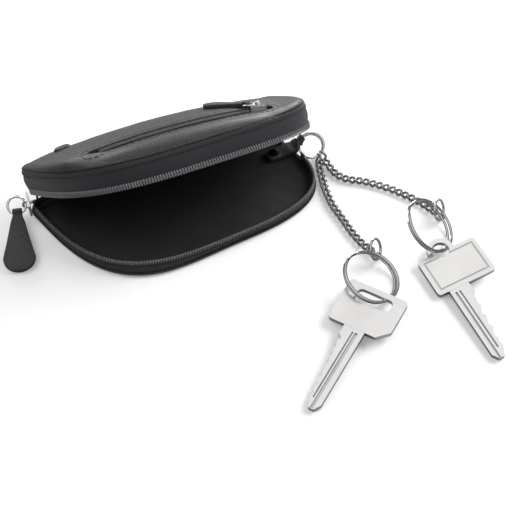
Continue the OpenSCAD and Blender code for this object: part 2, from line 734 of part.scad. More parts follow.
// Frame of a ring that leans: X is level and Y climbs
module leaning(centre, lean, turn) { translate(centre) rotate([lean, 0, turn]) children(); }
function leaning_point(centre, lean, turn, x, y, z) =
    let (v = cos(lean) * y - sin(lean) * z)
    centre + [cos(turn) * x - sin(turn) * v, sin(turn) * x + cos(turn) * v, sin(lean) * y + cos(lean) * z];
function ring_way(lean, turn, a) = leaning_point([0, 0, 0], lean, turn, cos(a), sin(a), 0);
function ring_tangent(lean, turn, a) = leaning_point([0, 0, 0], lean, turn, -sin(a), cos(a), 0);

tunnel_bore = strap_ring_h + 2 * running_gap + strap_ring_t / 5;
tunnel_d = tunnel_bore + 2 * strap_t * wrap_share;
tunnel_w = tunnel_w_share * strap_w;
tunnel_way = ring_way(strap_ring_lean, strap_ring_turn, tunnel_turn);
tunnel_place = inset_point(run_at(strap_turn), -strap_reach - tunnel_d / 2);
tunnel_point = [tunnel_place[0], tunnel_place[1], lining_wall_h + running_gap + strap_t + tunnel_d / 2];
strap_ring_centre = tunnel_point - strap_ring_r * tunnel_way;
rivet_place = inset_point(run_at(rivet_turn), rivet_k);
lining_top = leather_t + lining_t;
// Middle line of the strap: flat at its rivet, up to the rim, over it and on to the tunnel's mouth
strap_rim = inset_point(run_at(strap_turn), leather_t / 2);
strap_flat_z = lining_top + seat_gap + strap_t;
strap_top_z = lining_wall_h + seat_gap + strap_t;
strap_path = [[rivet_place[0] - strap_w / 2, rivet_place[1], strap_flat_z],
              [rivet_place[0] + strap_w / 2, rivet_place[1], strap_flat_z],
              [strap_rim[0] - 2 * strap_t, strap_rim[1], strap_top_z],
              [strap_rim[0], strap_rim[1], strap_top_z],
              tunnel_point + (tunnel_d / 2 - strap_t / 4) * tunnel_way];
strap_path_shares = [0, 0.2, 0.6, 0.8, 1];
function strap_mid(f) =
    [for (axis = [0:2]) lookup(f, [for (q = [0:4]) [strap_path_shares[q], strap_path[q][axis]]])];
module at_strap_ring() { leaning(strap_ring_centre, strap_ring_lean, strap_ring_turn) children(); }

module ring_strap() {
    section_shares = [0, 0.1, 0.2, 0.3, 0.4, 0.5, 0.6, 0.7, 0.8, 0.85, 0.9, 0.95, 1];
    step = section_shares[1];
    bend = strap_path_shares[3];
    end_width = ring_tangent(strap_ring_lean, strap_ring_turn, tunnel_turn);
    rings = [for (f = section_shares)
             let (ahead = strap_mid(min(1, f + step)) - strap_mid(max(0, f - step)),
                  blend = max(0, (f - bend) / (1 - bend)),
                  raw = [0, 1, 0] * (1 - blend) - end_width * blend,
                  t = ahead / norm(ahead),
                  side = raw - (raw * t) * t,
                  u = side / norm(side),
                  v = cross(t, u),
                  w = (strap_w + (tunnel_w - strap_w) * blend) / 2)
             [for (q = [[-w, -strap_t], [w, -strap_t], [w, strap_t], [-w, strap_t]])
              strap_mid(f) + q[0] * u + q[1] * v]];
    half = asin(tunnel_w / 2 / strap_ring_r);
    color(leather_tint) difference() {
        union() {
            difference() {
                tube(rings, false);
                translate([rivet_place[0], rivet_place[1], 0])
                    cylinder(h = crown_z, d = rivet_d / 2 + 2 * seat_gap, $fn = 32);
            }
            at_strap_ring() rotate([0, 0, tunnel_turn - half]) rotate_extrude(angle = 2 * half, $fn = 96)
                translate([strap_ring_r, 0]) circle(d = tunnel_d, $fn = 40);
        }
        at_strap_ring() rotate([0, 0, tunnel_turn - 3 * half]) rotate_extrude(angle = 6 * half, $fn = 96)
            translate([strap_ring_r, 0]) circle(d = tunnel_bore, $fn = 40);
    }
}

module strap_rivet() {
    color(silver_tint) translate([rivet_place[0], rivet_place[1], 0]) {
        top = lining_top + seat_gap + 2 * strap_t;
        translate([0, 0, lining_top]) cylinder(h = top - lining_top + washer_t, d = rivet_d / 2, $fn = 32);
        translate([0, 0, top + seat_gap])
            cylinder(h = washer_t, d1 = rivet_d, d2 = rivet_d - washer_t, $fn = 40);
    }
}

// Rings of two flat turns, chains and keys

// Section of a flat ring with worn edges, at the radius of its middle
module ring_section(r, t, h) {
    c = t / 4;
    polygon([[r - t / 2, -h / 2 + c], [r - t / 2 + c, -h / 2],
             [r + t / 2 - c, -h / 2], [r + t / 2, -h / 2 + c],
             [r + t / 2, h / 2 - c], [r + t / 2 - c, h / 2],
             [r - t / 2 + c, h / 2], [r - t / 2, h / 2 - c]]);
}
module split_ring(r, t, h) { rotate_extrude($fn = 96) ring_section(r, t, h); }

module strap_ring() {
    color(silver_tint) at_strap_ring() split_ring(strap_ring_r, strap_ring_t, strap_ring_h);
}

// A chain is a list of the points between its links; it leaves one ring and ends on the next
link_half_l = (link_pitch + link_wire + link_play) / 2;
end_link_share = 1.25;
end_half_w = end_link_share * link_half_w;
end_half_l = end_link_share * link_half_l;
end_pitch = 2 * end_half_l - link_wire - link_play;
chain_z = link_half_w * sin(45) + link_wire / 2 + 0.75 * seat_gap;
chain_end_z = end_half_w + link_wire / 2 + 0.25 * seat_gap;

function heading_way(h) = [cos(h), sin(h), 0];
// Headings are looked up by the share of the chain's links that lies behind
function chain_heading(route, n, i) = lookup((i + 0.5) / n, route);
function chain_height(z0, n, i) =
    i <= 1 ? z0 + (chain_end_z - z0) * i : i >= n - 1 ? chain_end_z
    : chain_z + (chain_end_z - chain_z) * max(0, 1 - (i - 1) / 2, 1 - (n - 1 - i) / 2);
function link_reach(n, i) = i == 0 || i == n - 1 ? end_pitch : link_pitch;
function chain_points(route, n, start) =
    [for (i = 0, p = start; i <= n; p = let (dz = chain_height(start[2], n, i + 1) - p[2],
                                            flat = sqrt(pow(link_reach(n, i), 2) - dz * dz))
                                       p + flat * heading_way(chain_heading(route, n, i)) + [0, 0, dz],
                                   i = i + 1) p];
// Links lie a quarter turn apart, and the three at each end turn in steps until the last one stands upright
end_roll = 15;
function link_roll(n, i) =
    90 * i + 45 + end_roll * max(0, 3 - i) + (n % 2 == 1 ? end_roll : -end_roll) * max(0, 3 - (n - 1 - i));

function link_ring_points(half_l, half_w, wire) =
    [for (q = [0:11])
     let (a = 30 * q, c = [(half_l - half_w) * (cos(a) > 0 ? 1 : -1), 0, 0], d = [cos(a), sin(a), 0])
     [for (g = [300:-60:0]) c + (half_w + wire / 2 * cos(g)) * d + [0, 0, wire / 2 * sin(g)]]];
module chain_link(half_l, half_w) { tube(link_ring_points(half_l, half_w, link_wire), true); }

module chain_run(points, first, last) {
    n = len(points) - 1;
    for (i = [first:last]) {
        d = points[i + 1] - points[i];
        ends = i == 0 || i == n - 1;
        translate((points[i] + points[i + 1]) / 2)
            rotate([0, -asin(d[2] / norm(d)), atan2(d[1], d[0])]) rotate([link_roll(n, i), 0, 0])
                chain_link(ends ? end_half_l : link_half_l, ends ? end_half_w : link_half_w);
    }
}

function ring_start(turn, way) =
    strap_ring_centre + strap_ring_r * ring_way(strap_ring_lean, strap_ring_turn, turn)
    - (strap_ring_h / 2 + link_play) * heading_way(way);
chain_a = chain_points(route_a_shares, links_a, ring_start(chain_a_turn, route_a_shares[0][1]));
chain_b = chain_points(route_b_shares, links_b, ring_start(chain_b_turn, route_b_shares[0][1]));
breaks_a = [0, 5, 10, 15, links_a];
breaks_b = [0, 5, 10, 15, links_b];

module chain_part(points, breaks, k) { color(silver_tint) chain_run(points, breaks[k - 1], breaks[k] - 1); }

// Jump ring that stands in the last link, and the key ring that hangs in it
function jump_up(plane_turn) = concat(sin(jump_lean) * [sin(plane_turn), -cos(plane_turn)], [cos(jump_lean)]);
function jump_centre(points, way, plane_turn) =
    points[len(points) - 1] - (jump_wire / 2 + link_play) * heading_way(way) + jump_r * jump_up(plane_turn);
jump_a = jump_centre(chain_a, chain_heading(route_a_shares, links_a, links_a - 1), jump_a_turn);
jump_b = jump_centre(chain_b, chain_heading(route_b_shares, links_b, links_b - 1), jump_b_turn);
module jump_ring(centre, plane_turn) {
    color(silver_tint) translate(centre) rotate([90 + jump_lean, 0, plane_turn])
        rotate_extrude($fn = 64) translate([jump_r, 0]) circle(d = jump_wire, $fn = 20);
}

// The key ring's wire passes the jump ring's hole at a distance along its plane and below its middle,
// and hangs a little to one side of it
function key_ring_centre(jump, plane_turn, reach, aside, height, lean, turn, at) =
    let (p = jump + reach * heading_way(plane_turn) + aside * heading_way(plane_turn + 90)
             + (height - jump[2]) / cos(jump_lean) * jump_up(plane_turn))
    p - key_ring_r * ring_way(lean, turn, at);
ring_a_z = ring_height(ring_a_lean) + key_ring_r * sin(ring_a_lean) * sin(ring_a_at);
ring_b_z = ring_height(ring_b_lean) + key_ring_r * sin(ring_b_lean) * sin(ring_b_at);
function ring_height(lean) =
    (key_ring_r + key_ring_t / 2) * sin(lean) + key_ring_h / 2 * cos(lean) + seat_gap;
ring_a = key_ring_centre(jump_a, jump_a_turn, ring_a_reach_share * jump_r, ring_a_aside_share * jump_r,
                         ring_a_z, ring_a_lean, ring_a_turn, ring_a_at);
ring_b = key_ring_centre(jump_b, jump_b_turn, ring_b_reach_share * jump_r, ring_b_aside_share * jump_r,
                         ring_b_z, ring_b_lean, ring_b_turn, ring_b_at);

module key_ring_a() {
    color(silver_tint) leaning(ring_a, ring_a_lean, ring_a_turn)
        split_ring(key_ring_r, key_ring_t, key_ring_h);
}
module key_ring_b() {
    color(silver_tint) leaning(ring_b, ring_b_lean, ring_b_turn)
        split_ring(key_ring_r, key_ring_t, key_ring_h);
}

// Points of a rounded rectangle
function round_corner(x, y, r, a0) = [for (q = [0:5]) [x + r * cos(a0 + 18 * q), y + r * sin(a0 + 18 * q)]];
function round_box(x0, x1, y0, y1, r) =
    concat(round_corner(x1 - r, y1 - r, r, 0), round_corner(x0 + r, y1 - r, r, 90),
           round_corner(x0 + r, y0 + r, r, 180), round_corner(x1 - r, y0 + r, r, 270));

// Blade along X from the bow, with its straight spine at Y = 0 and its cuts on the -Y side
function blade_outline(x0, l, cuts) =
    let (tip = blade_h / 2, n = len(cuts) - 1, cuts_x = x0 + stub_l + stub_step,
         step = (l - stub_l - stub_step - tip) / (n + 1))
    concat([[x0, 0], [x0, -blade_h], [x0 + stub_l, -blade_h], [cuts_x, -blade_h + stub_step]],
           [for (i = [0:n]) [cuts_x + step * (i + 1), -blade_h * (1 - cuts[i])]],
           [for (p = tip_shares) [x0 + l - p[0] * blade_h, -p[1] * blade_h]]);

// Straight grooves milled in the upper face, by their distance from the spine, width and lack at the tip
module grooves(x0, x1, spine, shares) {
    for (g = shares)
        translate([x0, spine - (g[0] + g[1] / 2) * blade_h, blade_t / 2 - groove_t])
            cube([x1 + (g[2] > 0 ? -g[2] * blade_h : cut) - x0, g[1] * blade_h, groove_t + cut]);
}

// Frame of a key, on the middle of its ring's wire
module at_key(ring, lean, turn, at, tilt) {
    leaning(ring, lean, turn) rotate([0, 0, at]) translate([key_ring_r, 0, 0]) rotate(tilt) children();
}

// Keys lie in the XY plane round their hole's middle, with the blade along X
module key_a() {
    bow_y = key_a_bow_w / 2;
    blade_x = key_a_bow_l - key_a_hole_x;
    box = round_box(-key_a_hole_x, blade_x, -bow_y, bow_y, bow_corner_r);
    color(key_tint) at_key(ring_a, ring_a_lean, ring_a_turn, key_a_at, key_a_tilt) difference() {
        union() {
            translate([0, 0, -bow_t / 2]) linear_extrude(bow_t)
                polygon(concat([[blade_x, bow_y - key_a_chamfer], [blade_x - key_a_chamfer, bow_y]],
                               [for (q = [6:23]) box[q]]));
            translate([0, key_a_spine, -blade_t / 2]) linear_extrude(blade_t)
                polygon(blade_outline(blade_x - bow_corner_r, key_a_l - key_a_bow_l + bow_corner_r,
                                      cuts_a_shares));
        }
        translate([0, 0, -bow_t]) linear_extrude(2 * bow_t)
            polygon(round_box(-key_a_hole_l / 2, key_a_hole_l / 2, -key_a_hole_w / 2, key_a_hole_w / 2,
                              key_a_hole_l / 3));
        grooves(blade_x + stub_step, key_a_l - key_a_hole_x, key_a_spine, grooves_a_shares);
    }
}

module key_b() {
    hole_x = lug_w / 2;
    bow_x = lug_l - hole_x;
    blade_x = bow_x + key_b_bow_l;
    frame_x = bow_x + frame_in;
    frame_y = key_b_bow_w / 2 - frame_in;
    color(key_tint) at_key(ring_b, ring_b_lean, ring_b_turn, key_b_at, key_b_tilt) difference() {
        union() {
            cylinder(h = bow_t, d = lug_w, center = true, $fn = 48);
            translate([0, -lug_w / 2, -bow_t / 2]) cube([bow_x + bow_corner_r, lug_w, bow_t]);
            translate([0, key_b_shift, -bow_t / 2]) linear_extrude(bow_t)
                polygon(round_box(bow_x, blade_x, -key_b_bow_w / 2, key_b_bow_w / 2, bow_corner_r));
            translate([0, key_b_spine, -blade_t / 2]) mirror([0, 1, 0]) linear_extrude(blade_t)
                polygon(blade_outline(blade_x - bow_corner_r, key_b_l - blade_x - hole_x + bow_corner_r,
                                      cuts_b_shares));
        }
        translate([0, 0, -bow_t]) cylinder(h = 2 * bow_t, d = key_b_hole_d, $fn = 48);
        for (x = [frame_x, blade_x - frame_in - frame_w])
            translate([x, key_b_shift - frame_y, (bow_t - groove_t) / 2])
                cube([frame_w, 2 * frame_y, groove_t]);
        for (y = [-frame_y, frame_y - frame_w])
            translate([frame_x, key_b_shift + y, (bow_t - groove_t) / 2])
                cube([key_b_bow_l - 2 * frame_in, frame_w, groove_t]);
        grooves(blade_x + stub_step, key_b_l - hole_x, key_b_spine, grooves_b_shares);
    }
}

lower_panel();
lower_lining();
lower_tape();
lower_teeth();
lower_stop();
spine_gusset();
ring_strap();
strap_rivet();
upper_panel();
upper_lining();
upper_tape();
upper_teeth();
upper_stop();
pocket_tape();
pocket_teeth();
pocket_stops();
pocket_bag();
stud_cap();
stud_washer();
zip_slider();
pull_ring();
pull_tab();
pocket_slider();
pocket_ring();
pocket_tab();
strap_ring();
chain_part(chain_a, breaks_a, 1);  // chain_a1
chain_part(chain_a, breaks_a, 2);  // chain_a2
chain_part(chain_a, breaks_a, 3);  // chain_a3
chain_part(chain_a, breaks_a, 4);  // chain_a4
jump_ring(jump_a, jump_a_turn);  // jump_ring_a
key_ring_a();
key_a();
chain_part(chain_b, breaks_b, 1);  // chain_b1
chain_part(chain_b, breaks_b, 2);  // chain_b2
chain_part(chain_b, breaks_b, 3);  // chain_b3
chain_part(chain_b, breaks_b, 4);  // chain_b4
jump_ring(jump_b, jump_b_turn);  // jump_ring_b
key_ring_b();
key_b();
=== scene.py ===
import bpy
import bmesh
import numpy as np
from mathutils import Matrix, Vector


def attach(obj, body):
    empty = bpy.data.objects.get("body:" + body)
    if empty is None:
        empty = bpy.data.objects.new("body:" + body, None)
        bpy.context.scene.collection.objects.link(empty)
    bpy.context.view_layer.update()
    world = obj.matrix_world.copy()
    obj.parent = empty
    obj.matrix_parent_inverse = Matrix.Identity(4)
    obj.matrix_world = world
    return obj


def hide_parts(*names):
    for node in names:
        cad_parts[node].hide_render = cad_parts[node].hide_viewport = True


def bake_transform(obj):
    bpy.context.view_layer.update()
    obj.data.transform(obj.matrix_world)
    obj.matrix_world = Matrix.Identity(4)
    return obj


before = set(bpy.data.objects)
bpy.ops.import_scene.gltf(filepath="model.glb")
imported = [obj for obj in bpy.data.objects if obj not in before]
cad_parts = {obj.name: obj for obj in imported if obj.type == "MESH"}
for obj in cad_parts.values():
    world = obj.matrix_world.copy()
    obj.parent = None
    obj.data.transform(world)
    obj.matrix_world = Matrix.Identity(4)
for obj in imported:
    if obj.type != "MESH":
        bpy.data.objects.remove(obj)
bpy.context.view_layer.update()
scene = bpy.context.scene
print("frame loaded with", len(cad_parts), "nodes")

mm = 0.001  # shapes are worked out in millimetres and stored in metres

# camera, floor and light
view = {"azimuth": -21.5, "elevation": 54, "distance": 430, "target": (16.09, -34.18, 0), "lens": 74.53}
light = {"key": 4.8, "top": 1.9, "rim": 1.2, "sky": 0.3, "floorColour": 0.86, "floorLift": 0.2,
         "gloss": 1.0, "sheen": 2.4, "floorMirrored": 0.3}


def makeCamera():
    azimuth, elevation = np.radians([view["azimuth"], view["elevation"]])
    flat = np.cos(elevation)
    back = Vector((np.sin(azimuth) * flat, -np.cos(azimuth) * flat, np.sin(elevation)))
    camera = bpy.data.objects.new("camera", bpy.data.cameras.new("camera"))
    camera.data.sensor_width, camera.data.lens = 36, view["lens"]
    camera.data.clip_start, camera.data.clip_end = 0.01, 20
    camera.location = (Vector(view["target"]) + back * view["distance"]) * mm
    camera.rotation_mode = "QUATERNION"
    camera.rotation_quaternion = (-back).to_track_quat("-Z", "Y")
    scene.collection.objects.link(camera)
    scene.camera = camera


makeCamera()


class Wire:
    # an output socket of a node; +, - and * on it add Math nodes
    def __init__(self, finish, socket):
        self.finish, self.socket = finish, socket

    def maths(self, operation, *values):
        return self.finish.add("Math", {"operation": operation}, dict(enumerate(values)))

    def __add__(self, other):
        return self.maths("ADD", self, other)

    def __radd__(self, other):
        return self.maths("ADD", other, self)

    def __sub__(self, other):
        return self.maths("SUBTRACT", self, other)

    def __rsub__(self, other):
        return self.maths("SUBTRACT", other, self)

    def __mul__(self, other):
        return self.maths("MULTIPLY", self, other)

    def __rmul__(self, other):
        return self.maths("MULTIPLY", other, self)


class Finish:
    # a node tree that is built by add(): settings first, then the values and links of the sockets
    def __init__(self, owner):
        owner.use_nodes = True
        self.owner, self.tree = owner, owner.node_tree
        self.tree.nodes.clear()

    def add(self, kind, settings=None, sockets=None, output=0):
        node = self.tree.nodes.new("ShaderNode" + kind)
        for key, value in (settings or {}).items():
            if key == "stops":
                ramp = node.color_ramp
                while len(ramp.elements) < len(value):
                    ramp.elements.new(0.5)
                for element, (position, colour) in zip(ramp.elements, value):
                    element.position, element.color = position, colour
            else:
                setattr(node, key, value)
        for key, value in (sockets or {}).items():
            if isinstance(value, Wire):
                self.tree.links.new(value.socket, node.inputs[key])
            else:
                node.inputs[key].default_value = value
        return Wire(self, node.outputs[output]) if len(node.outputs) else None

    def mix(self, share, first, second):
        return self.add("Mix", {"data_type": "RGBA"}, {0: share, 6: first, 7: second}, 2)

    def place(self):
        return self.add("TexCoord", output=3)

    def noise(self, scale, detail=3, where=None):
        return self.add("TexNoise", None, {"Vector": where or self.place(), "Scale": scale, "Detail": detail})

    def cells(self, scale, where=None):
        return self.add("TexVoronoi", {"feature": "DISTANCE_TO_EDGE"},
                        {"Vector": where or self.place(), "Scale": scale})

    def ramp(self, value, *stops):
        return self.add("ValToRGB", {"stops": [(p, (c, c, c, 1)) for p, c in stops]}, {0: value})

    def bump(self, height, depth, strength):
        return self.add("Bump", None, {"Height": height, "Distance": depth, "Strength": strength})

    def surface(self, **sockets):
        shader = self.add("BsdfPrincipled", None,
                          {key.replace("_", " "): value for key, value in sockets.items()})
        self.add("OutputMaterial", None, {"Surface": shader})
        return self.owner


def grey(value, warm=0.0):
    return (value * (1 + warm), value, value * (1 - warm), 1)


def makeStage():
    mesh = bpy.data.meshes.new("floor")
    corners = [(x, y, -0.0001) for x, y in ((-3, -3), (3, -3), (3, 3), (-3, 3))]  # in metres
    mesh.from_pydata(corners, [], [(0, 1, 2, 3)])
    floor = bpy.data.objects.new("floor", mesh)
    scene.collection.objects.link(floor)
    paper = Finish(bpy.data.materials.new("whitePaper"))
    seen = paper.add("LightPath")
    glossy = paper.add("LightPath", output=3)
    lift = seen * light["floorLift"]
    tone = paper.mix(glossy, grey(light["floorColour"]), grey(light["floorMirrored"]))
    paper.surface(Base_Color=tone, Roughness=0.9, Specular_IOR_Level=0.0,
                  Emission_Color=grey(1.0), Emission_Strength=lift)
    mesh.materials.append(paper.owner)

    world = bpy.data.worlds.new("studio")
    scene.world = world
    room = Finish(world)
    height = room.add("SeparateXYZ", None, {0: room.add("TexCoord", output=0)}, 2)
    around = room.ramp(height, (0.0, 0.55), (0.1, 0.2), (0.35, 0.08), (0.62, 0.35), (0.8, 0.95), (1.0, 1.0))
    plain = room.add("Background", None, {0: grey(1.0), 1: light["sky"]})
    mirrored = room.add("Background", None, {0: around, 1: light["gloss"]})
    white = room.add("Background", None, {0: grey(1.0), 1: 1.0})
    ofGlossy = room.add("MixShader", None, {0: room.add("LightPath", output=3), 1: plain, 2: mirrored})
    ofCamera = room.add("MixShader", None, {0: room.add("LightPath"), 1: ofGlossy, 2: white})
    room.add("OutputWorld", None, {0: ofCamera})

    def lamp(name, power, size, where, glossy=False):
        data = bpy.data.lights.new(name, "AREA")
        data.shape, data.size, data.size_y, data.energy = "RECTANGLE", size[0], size[1], power
        item = bpy.data.objects.new(name, data)
        item.location = where
        item.rotation_mode = "QUATERNION"
        item.rotation_quaternion = (Vector((0.01, -0.02, 0)) - Vector(where)).to_track_quat("-Z", "Y")
        item.visible_glossy = glossy
        scene.collection.objects.link(item)

    lamp("keyLamp", light["key"], (0.42, 0.42), (0.56, 0.02, 0.36))
    lamp("topLamp", light["top"], (0.7, 0.5), (-0.38, 0.15, 0.62))
    lamp("rimLamp", light["rim"], (0.3, 0.15), (-0.14, 0.62, 0.17), glossy=True)
    lamp("sheenLamp", light["sheen"], (0.3, 0.15), (0.38, 0.56, 0.14), glossy=True)


makeStage()
print("camera, floor and lamps made")

# the case's outline and its dome
case = {"length": 112, "frontDepth": 43.5, "rearDepth": 9, "frontSquareness": 3.2, "rearSquareness": 3.3,
        "lean": -0.35, "taper": -0.25, "parting": 6.5, "wall": 8.3, "edge": 1.4, "rise": 8.2, "shoulder": 9,
        "crownRadius": 330, "crownShift": 8, "spineHalf": 30, "spineMiddle": -3, "openAngle": 38,
        "hingeGap": 0.5, "brim": 0.5, "leather": 1.2, "tape": 0.6, "lining": 0.5, "room": 7.2, "pitch": 1.5,
        "columns": 480, "sagReach": 6}
case["middle"] = (case["frontDepth"] - case["rearDepth"]) / 2
case["edgeZ"] = case["parting"] + case["wall"]
case["shoulderZ"] = case["edgeZ"] + case["edge"]
case["crownZ"] = case["edgeZ"] + case["rise"]
case["leastZ"] = case["shoulderZ"] + 1.5 * case["leather"]
case["liningK"] = case["leather"] + case["tape"]
case["hem"] = case["liningK"] + case["lining"]


def signedPower(value, power):
    return np.sign(value) * np.abs(value) ** power


def ramped(value, start, end):
    # from 0 at the start to 1 at the end, and level beyond both
    return np.clip((value - start) / (end - start), 0, 1)


def eased(share):
    return share * share * (3 - 2 * share)


def circleAngles(count, offset=0.0):
    return 2 * np.pi * (np.arange(count) + offset) / count


def circlePath(r, a):
    return np.stack([r * np.cos(a), r * np.sin(a), 0 * a], -1)


def distance(vectors):
    return np.linalg.norm(vectors, axis=-1)


def raised(plan, height):
    # points of a plan, with their heights
    return np.concatenate([plan, height[..., None]], -1)


def outlineAt(degrees):
    # a superellipse, squarer at the front, tapered to the right and leaned to the left
    turn = np.radians(degrees)
    front = np.sin(turn) < 0
    power = 2 / np.where(front, case["frontSquareness"], case["rearSquareness"])
    u = case["length"] / 2 * signedPower(np.cos(turn), power)
    depth = np.where(front, case["frontDepth"], case["rearDepth"])
    v = depth * signedPower(np.sin(turn), power) * (1 + case["taper"] * u / case["length"]) + case["middle"]
    return np.stack([u + case["lean"] * v, v], -1)


outlineTurns = np.linspace(-270, 90, 2881)
outlinePoints = outlineAt(outlineTurns)
outlineRuns = np.concatenate([[0], np.cumsum(distance(np.diff(outlinePoints, axis=0)))])
outlineLength = outlineRuns[-1]
hingeY = outlinePoints[:, 1].max() + case["hingeGap"]


def along(run):
    run = np.mod(run, outlineLength)
    return np.stack([np.interp(run, outlineRuns, outlinePoints[:, k]) for k in (0, 1)], -1)


def unit(vectors):
    return vectors / np.maximum(np.linalg.norm(vectors, axis=-1, keepdims=True), 1e-12)


def forward(run):
    return unit(along(run + case["pitch"]) - along(run - case["pitch"]))


def inset(run, inside):
    # the outline's point at a run, moved square to the outline
    way = forward(run)
    return along(run) + np.asarray(inside)[..., None] * np.stack([-way[..., 1], way[..., 0]], -1)


def runAt(degrees):
    return np.interp(degrees, outlineTurns, outlineRuns)


def level(run, inside, height):
    run, inside, height = np.broadcast_arrays(run, inside, height)
    return raised(inset(run, inside), height)


def turned(points, x=0.0, y=0.0, z=0.0):
    # turned about X, then Y, then Z
    for axis, angle in enumerate((x, y, z)):
        c, s = np.cos(np.radians(angle)), np.sin(np.radians(angle))
        a, b = (axis + 1) % 3, (axis + 2) % 3
        moved = points.copy()
        moved[..., a] = c * points[..., a] - s * points[..., b]
        moved[..., b] = s * points[..., a] + c * points[..., b]
        points = moved
    return points


def opened(points):
    # what is described in the shut lid, turned about the hinge line to where it lies open
    pivot = np.array([0, hingeY, case["parting"]])
    return turned(points - pivot, x=-case["openAngle"]) + pivot


def spineNear(plan):
    middle, half = case["spineMiddle"], case["spineHalf"]
    x = np.clip(plan[..., 0], middle - half, middle + half)
    return np.stack([x, np.zeros_like(x)], -1)


def crownHeight(x):
    r = case["crownRadius"]
    return case["crownZ"] - (r - np.sqrt(r ** 2 - (x + case["crownShift"]) ** 2))


def domePlan(run, inside):
    run, inside = np.broadcast_arrays(run, inside)
    base = inset(run, np.minimum(inside, case["hem"]))
    return base + np.maximum(inside - case["hem"], 0)[..., None] * unit(spineNear(base) - base)


def shoulderPoint(run, angle, inside, foot, drop, least):
    # a quarter of an ellipse from the foot of the wall up to the crown
    a = np.radians(angle)
    plan = domePlan(run, inside + (case["shoulder"] - inside) * (1 - np.cos(a)))
    top = np.maximum(crownHeight(plan[..., 0]) - drop, least)
    return raised(plan, foot + (top - foot) * np.sin(a))


def wrinkle(points):
    # a low sum of slanted sine waves, which never repeats over the case
    x, y = points[..., 0], points[..., 1]
    return (np.sin(0.31 * x + 0.17 * y + 0.8) + 0.7 * np.sin(0.13 * x - 0.41 * y + 2.1)
            + 0.5 * np.sin(0.62 * x + 0.53 * y + 4.0) + 0.35 * np.sin(0.9 * x - 0.75 * y)) / 2.5


# columns of every full ring: from the left pole by the front to the right pole, and back by the rear
half = case["columns"] // 2
leftRun, rightRun = runAt(-180), runAt(0)
columnRuns = np.concatenate([np.linspace(leftRun, rightRun, half, endpoint=False),
                             np.linspace(rightRun, leftRun + outlineLength, half, endpoint=False)])
spineShare = np.concatenate([np.arange(half), np.arange(half, 0, -1)]) / half
spineX = case["spineMiddle"] + case["spineHalf"] * (2 * spineShare - 1)
spinePlan = np.stack([spineX, 0 * spineX], -1)


# meshes
def gridFaces(rows, columns, closeAlong):
    r = np.arange(rows if closeAlong else rows - 1)[:, None]
    c = np.arange(columns)[None]
    r, r2, c2 = r * columns, (r + 1) % rows * columns, (c + 1) % columns
    quads = np.stack(np.broadcast_arrays(r + c, r + c2, r2 + c2, r2 + c), -1)
    return quads.reshape(-1, 4)


def closedPart(grid, closeAlong=False, caps=False, flow=None):
    # a grid of points, closed across its rows, with its faces wound so that its signed volume is positive
    rows, columns = grid.shape[:2]
    points = grid.reshape(-1, 3)
    faces = gridFaces(rows, columns, closeAlong)
    ends = [list(range(columns))[::-1], list(range((rows - 1) * columns, rows * columns))] if caps else []
    a, b, c, d = (points[faces[:, k]] for k in range(4))
    volume = (np.cross(a, b) * c).sum() + (np.cross(a, c) * d).sum()
    for loop in ends:
        fan = points[loop]
        volume += (np.cross(fan[0], fan[1:-1]) * fan[2:]).sum()
    if volume < 0:
        faces, ends = faces[:, ::-1], [loop[::-1] for loop in ends]
    return points, faces.tolist() + ends, None if flow is None else flow.reshape(-1, 2)


def shown(name, mesh, smoothAngle):
    # an object for a mesh, shaded smooth apart from its sharp edges
    mesh.polygons.foreach_set("use_smooth", [True] * len(mesh.polygons))
    mesh.set_sharp_from_angle(angle=np.radians(smoothAngle))
    piece = bpy.data.objects.new(name, mesh)
    scene.collection.objects.link(piece)
    return piece


def makePiece(name, parts, merge=False, smoothAngle=60):
    parts = parts if isinstance(parts, list) else [parts]
    points, faces, flows, first = [], [], [], 0
    for part in parts:
        points.append(part[0])
        faces += [[i + first for i in face] for face in part[1]]
        flows.append(part[2] if part[2] is not None else np.zeros((len(part[0]), 2)))
        first += len(part[0])
    points = np.concatenate(points) * mm
    mesh = bpy.data.meshes.new(name)
    mesh.from_pydata(points.tolist(), [], faces)
    if any(part[2] is not None for part in parts):
        flow = np.concatenate(flows)
        attribute = mesh.attributes.new("flow", "FLOAT_VECTOR", "POINT")
        attribute.data.foreach_set("vector", np.c_[flow, np.zeros(len(flow))].astype(np.float32).ravel())
    if merge:
        work = bmesh.new()
        work.from_mesh(mesh)
        bmesh.ops.remove_doubles(work, verts=work.verts, dist=1e-7)
        bmesh.ops.dissolve_degenerate(work, edges=work.edges, dist=1e-8)
        work.to_mesh(mesh)
        work.free()
    return shown(name, mesh, smoothAngle)


def seat(piece, body, slotName, material, *nodes):
    piece.data.materials.clear()
    piece.data.materials.append(material)
    if body:
        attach(piece, body)
    if nodes:
        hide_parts(*nodes)
    return piece


def fit(name, parts, body, slotName, material, *nodes, **shape):
    return seat(makePiece(name, parts, **shape), body, slotName, material, *nodes)


def roundedSection(halfWidth, halfHeight, radius, samples=24):
    # rounded rectangle round the origin: a quarter circle in each corner
    angle = circleAngles(samples, 0.5)
    halfWidth, halfHeight = np.asarray(halfWidth, float)[..., None], np.asarray(halfHeight, float)[..., None]
    r = np.minimum(np.minimum(halfWidth, halfHeight), radius)
    return np.stack([np.sign(np.cos(angle)) * (halfWidth - r) + r * np.cos(angle),
                     np.sign(np.sin(angle)) * (halfHeight - r) + r * np.sin(angle)], -1)


def sweep(path, side, section):
    # a section carried along a path; side is the way of the section's first axis
    ahead = unit(np.gradient(path, axis=0))
    side = unit(side - (side * ahead).sum(-1, keepdims=True) * ahead)
    up = np.cross(ahead, side)
    section = np.broadcast_to(section, (len(path),) + section.shape[-2:])
    return path[:, None] + section[..., :1] * side[:, None] + section[..., 1:] * up[:, None]


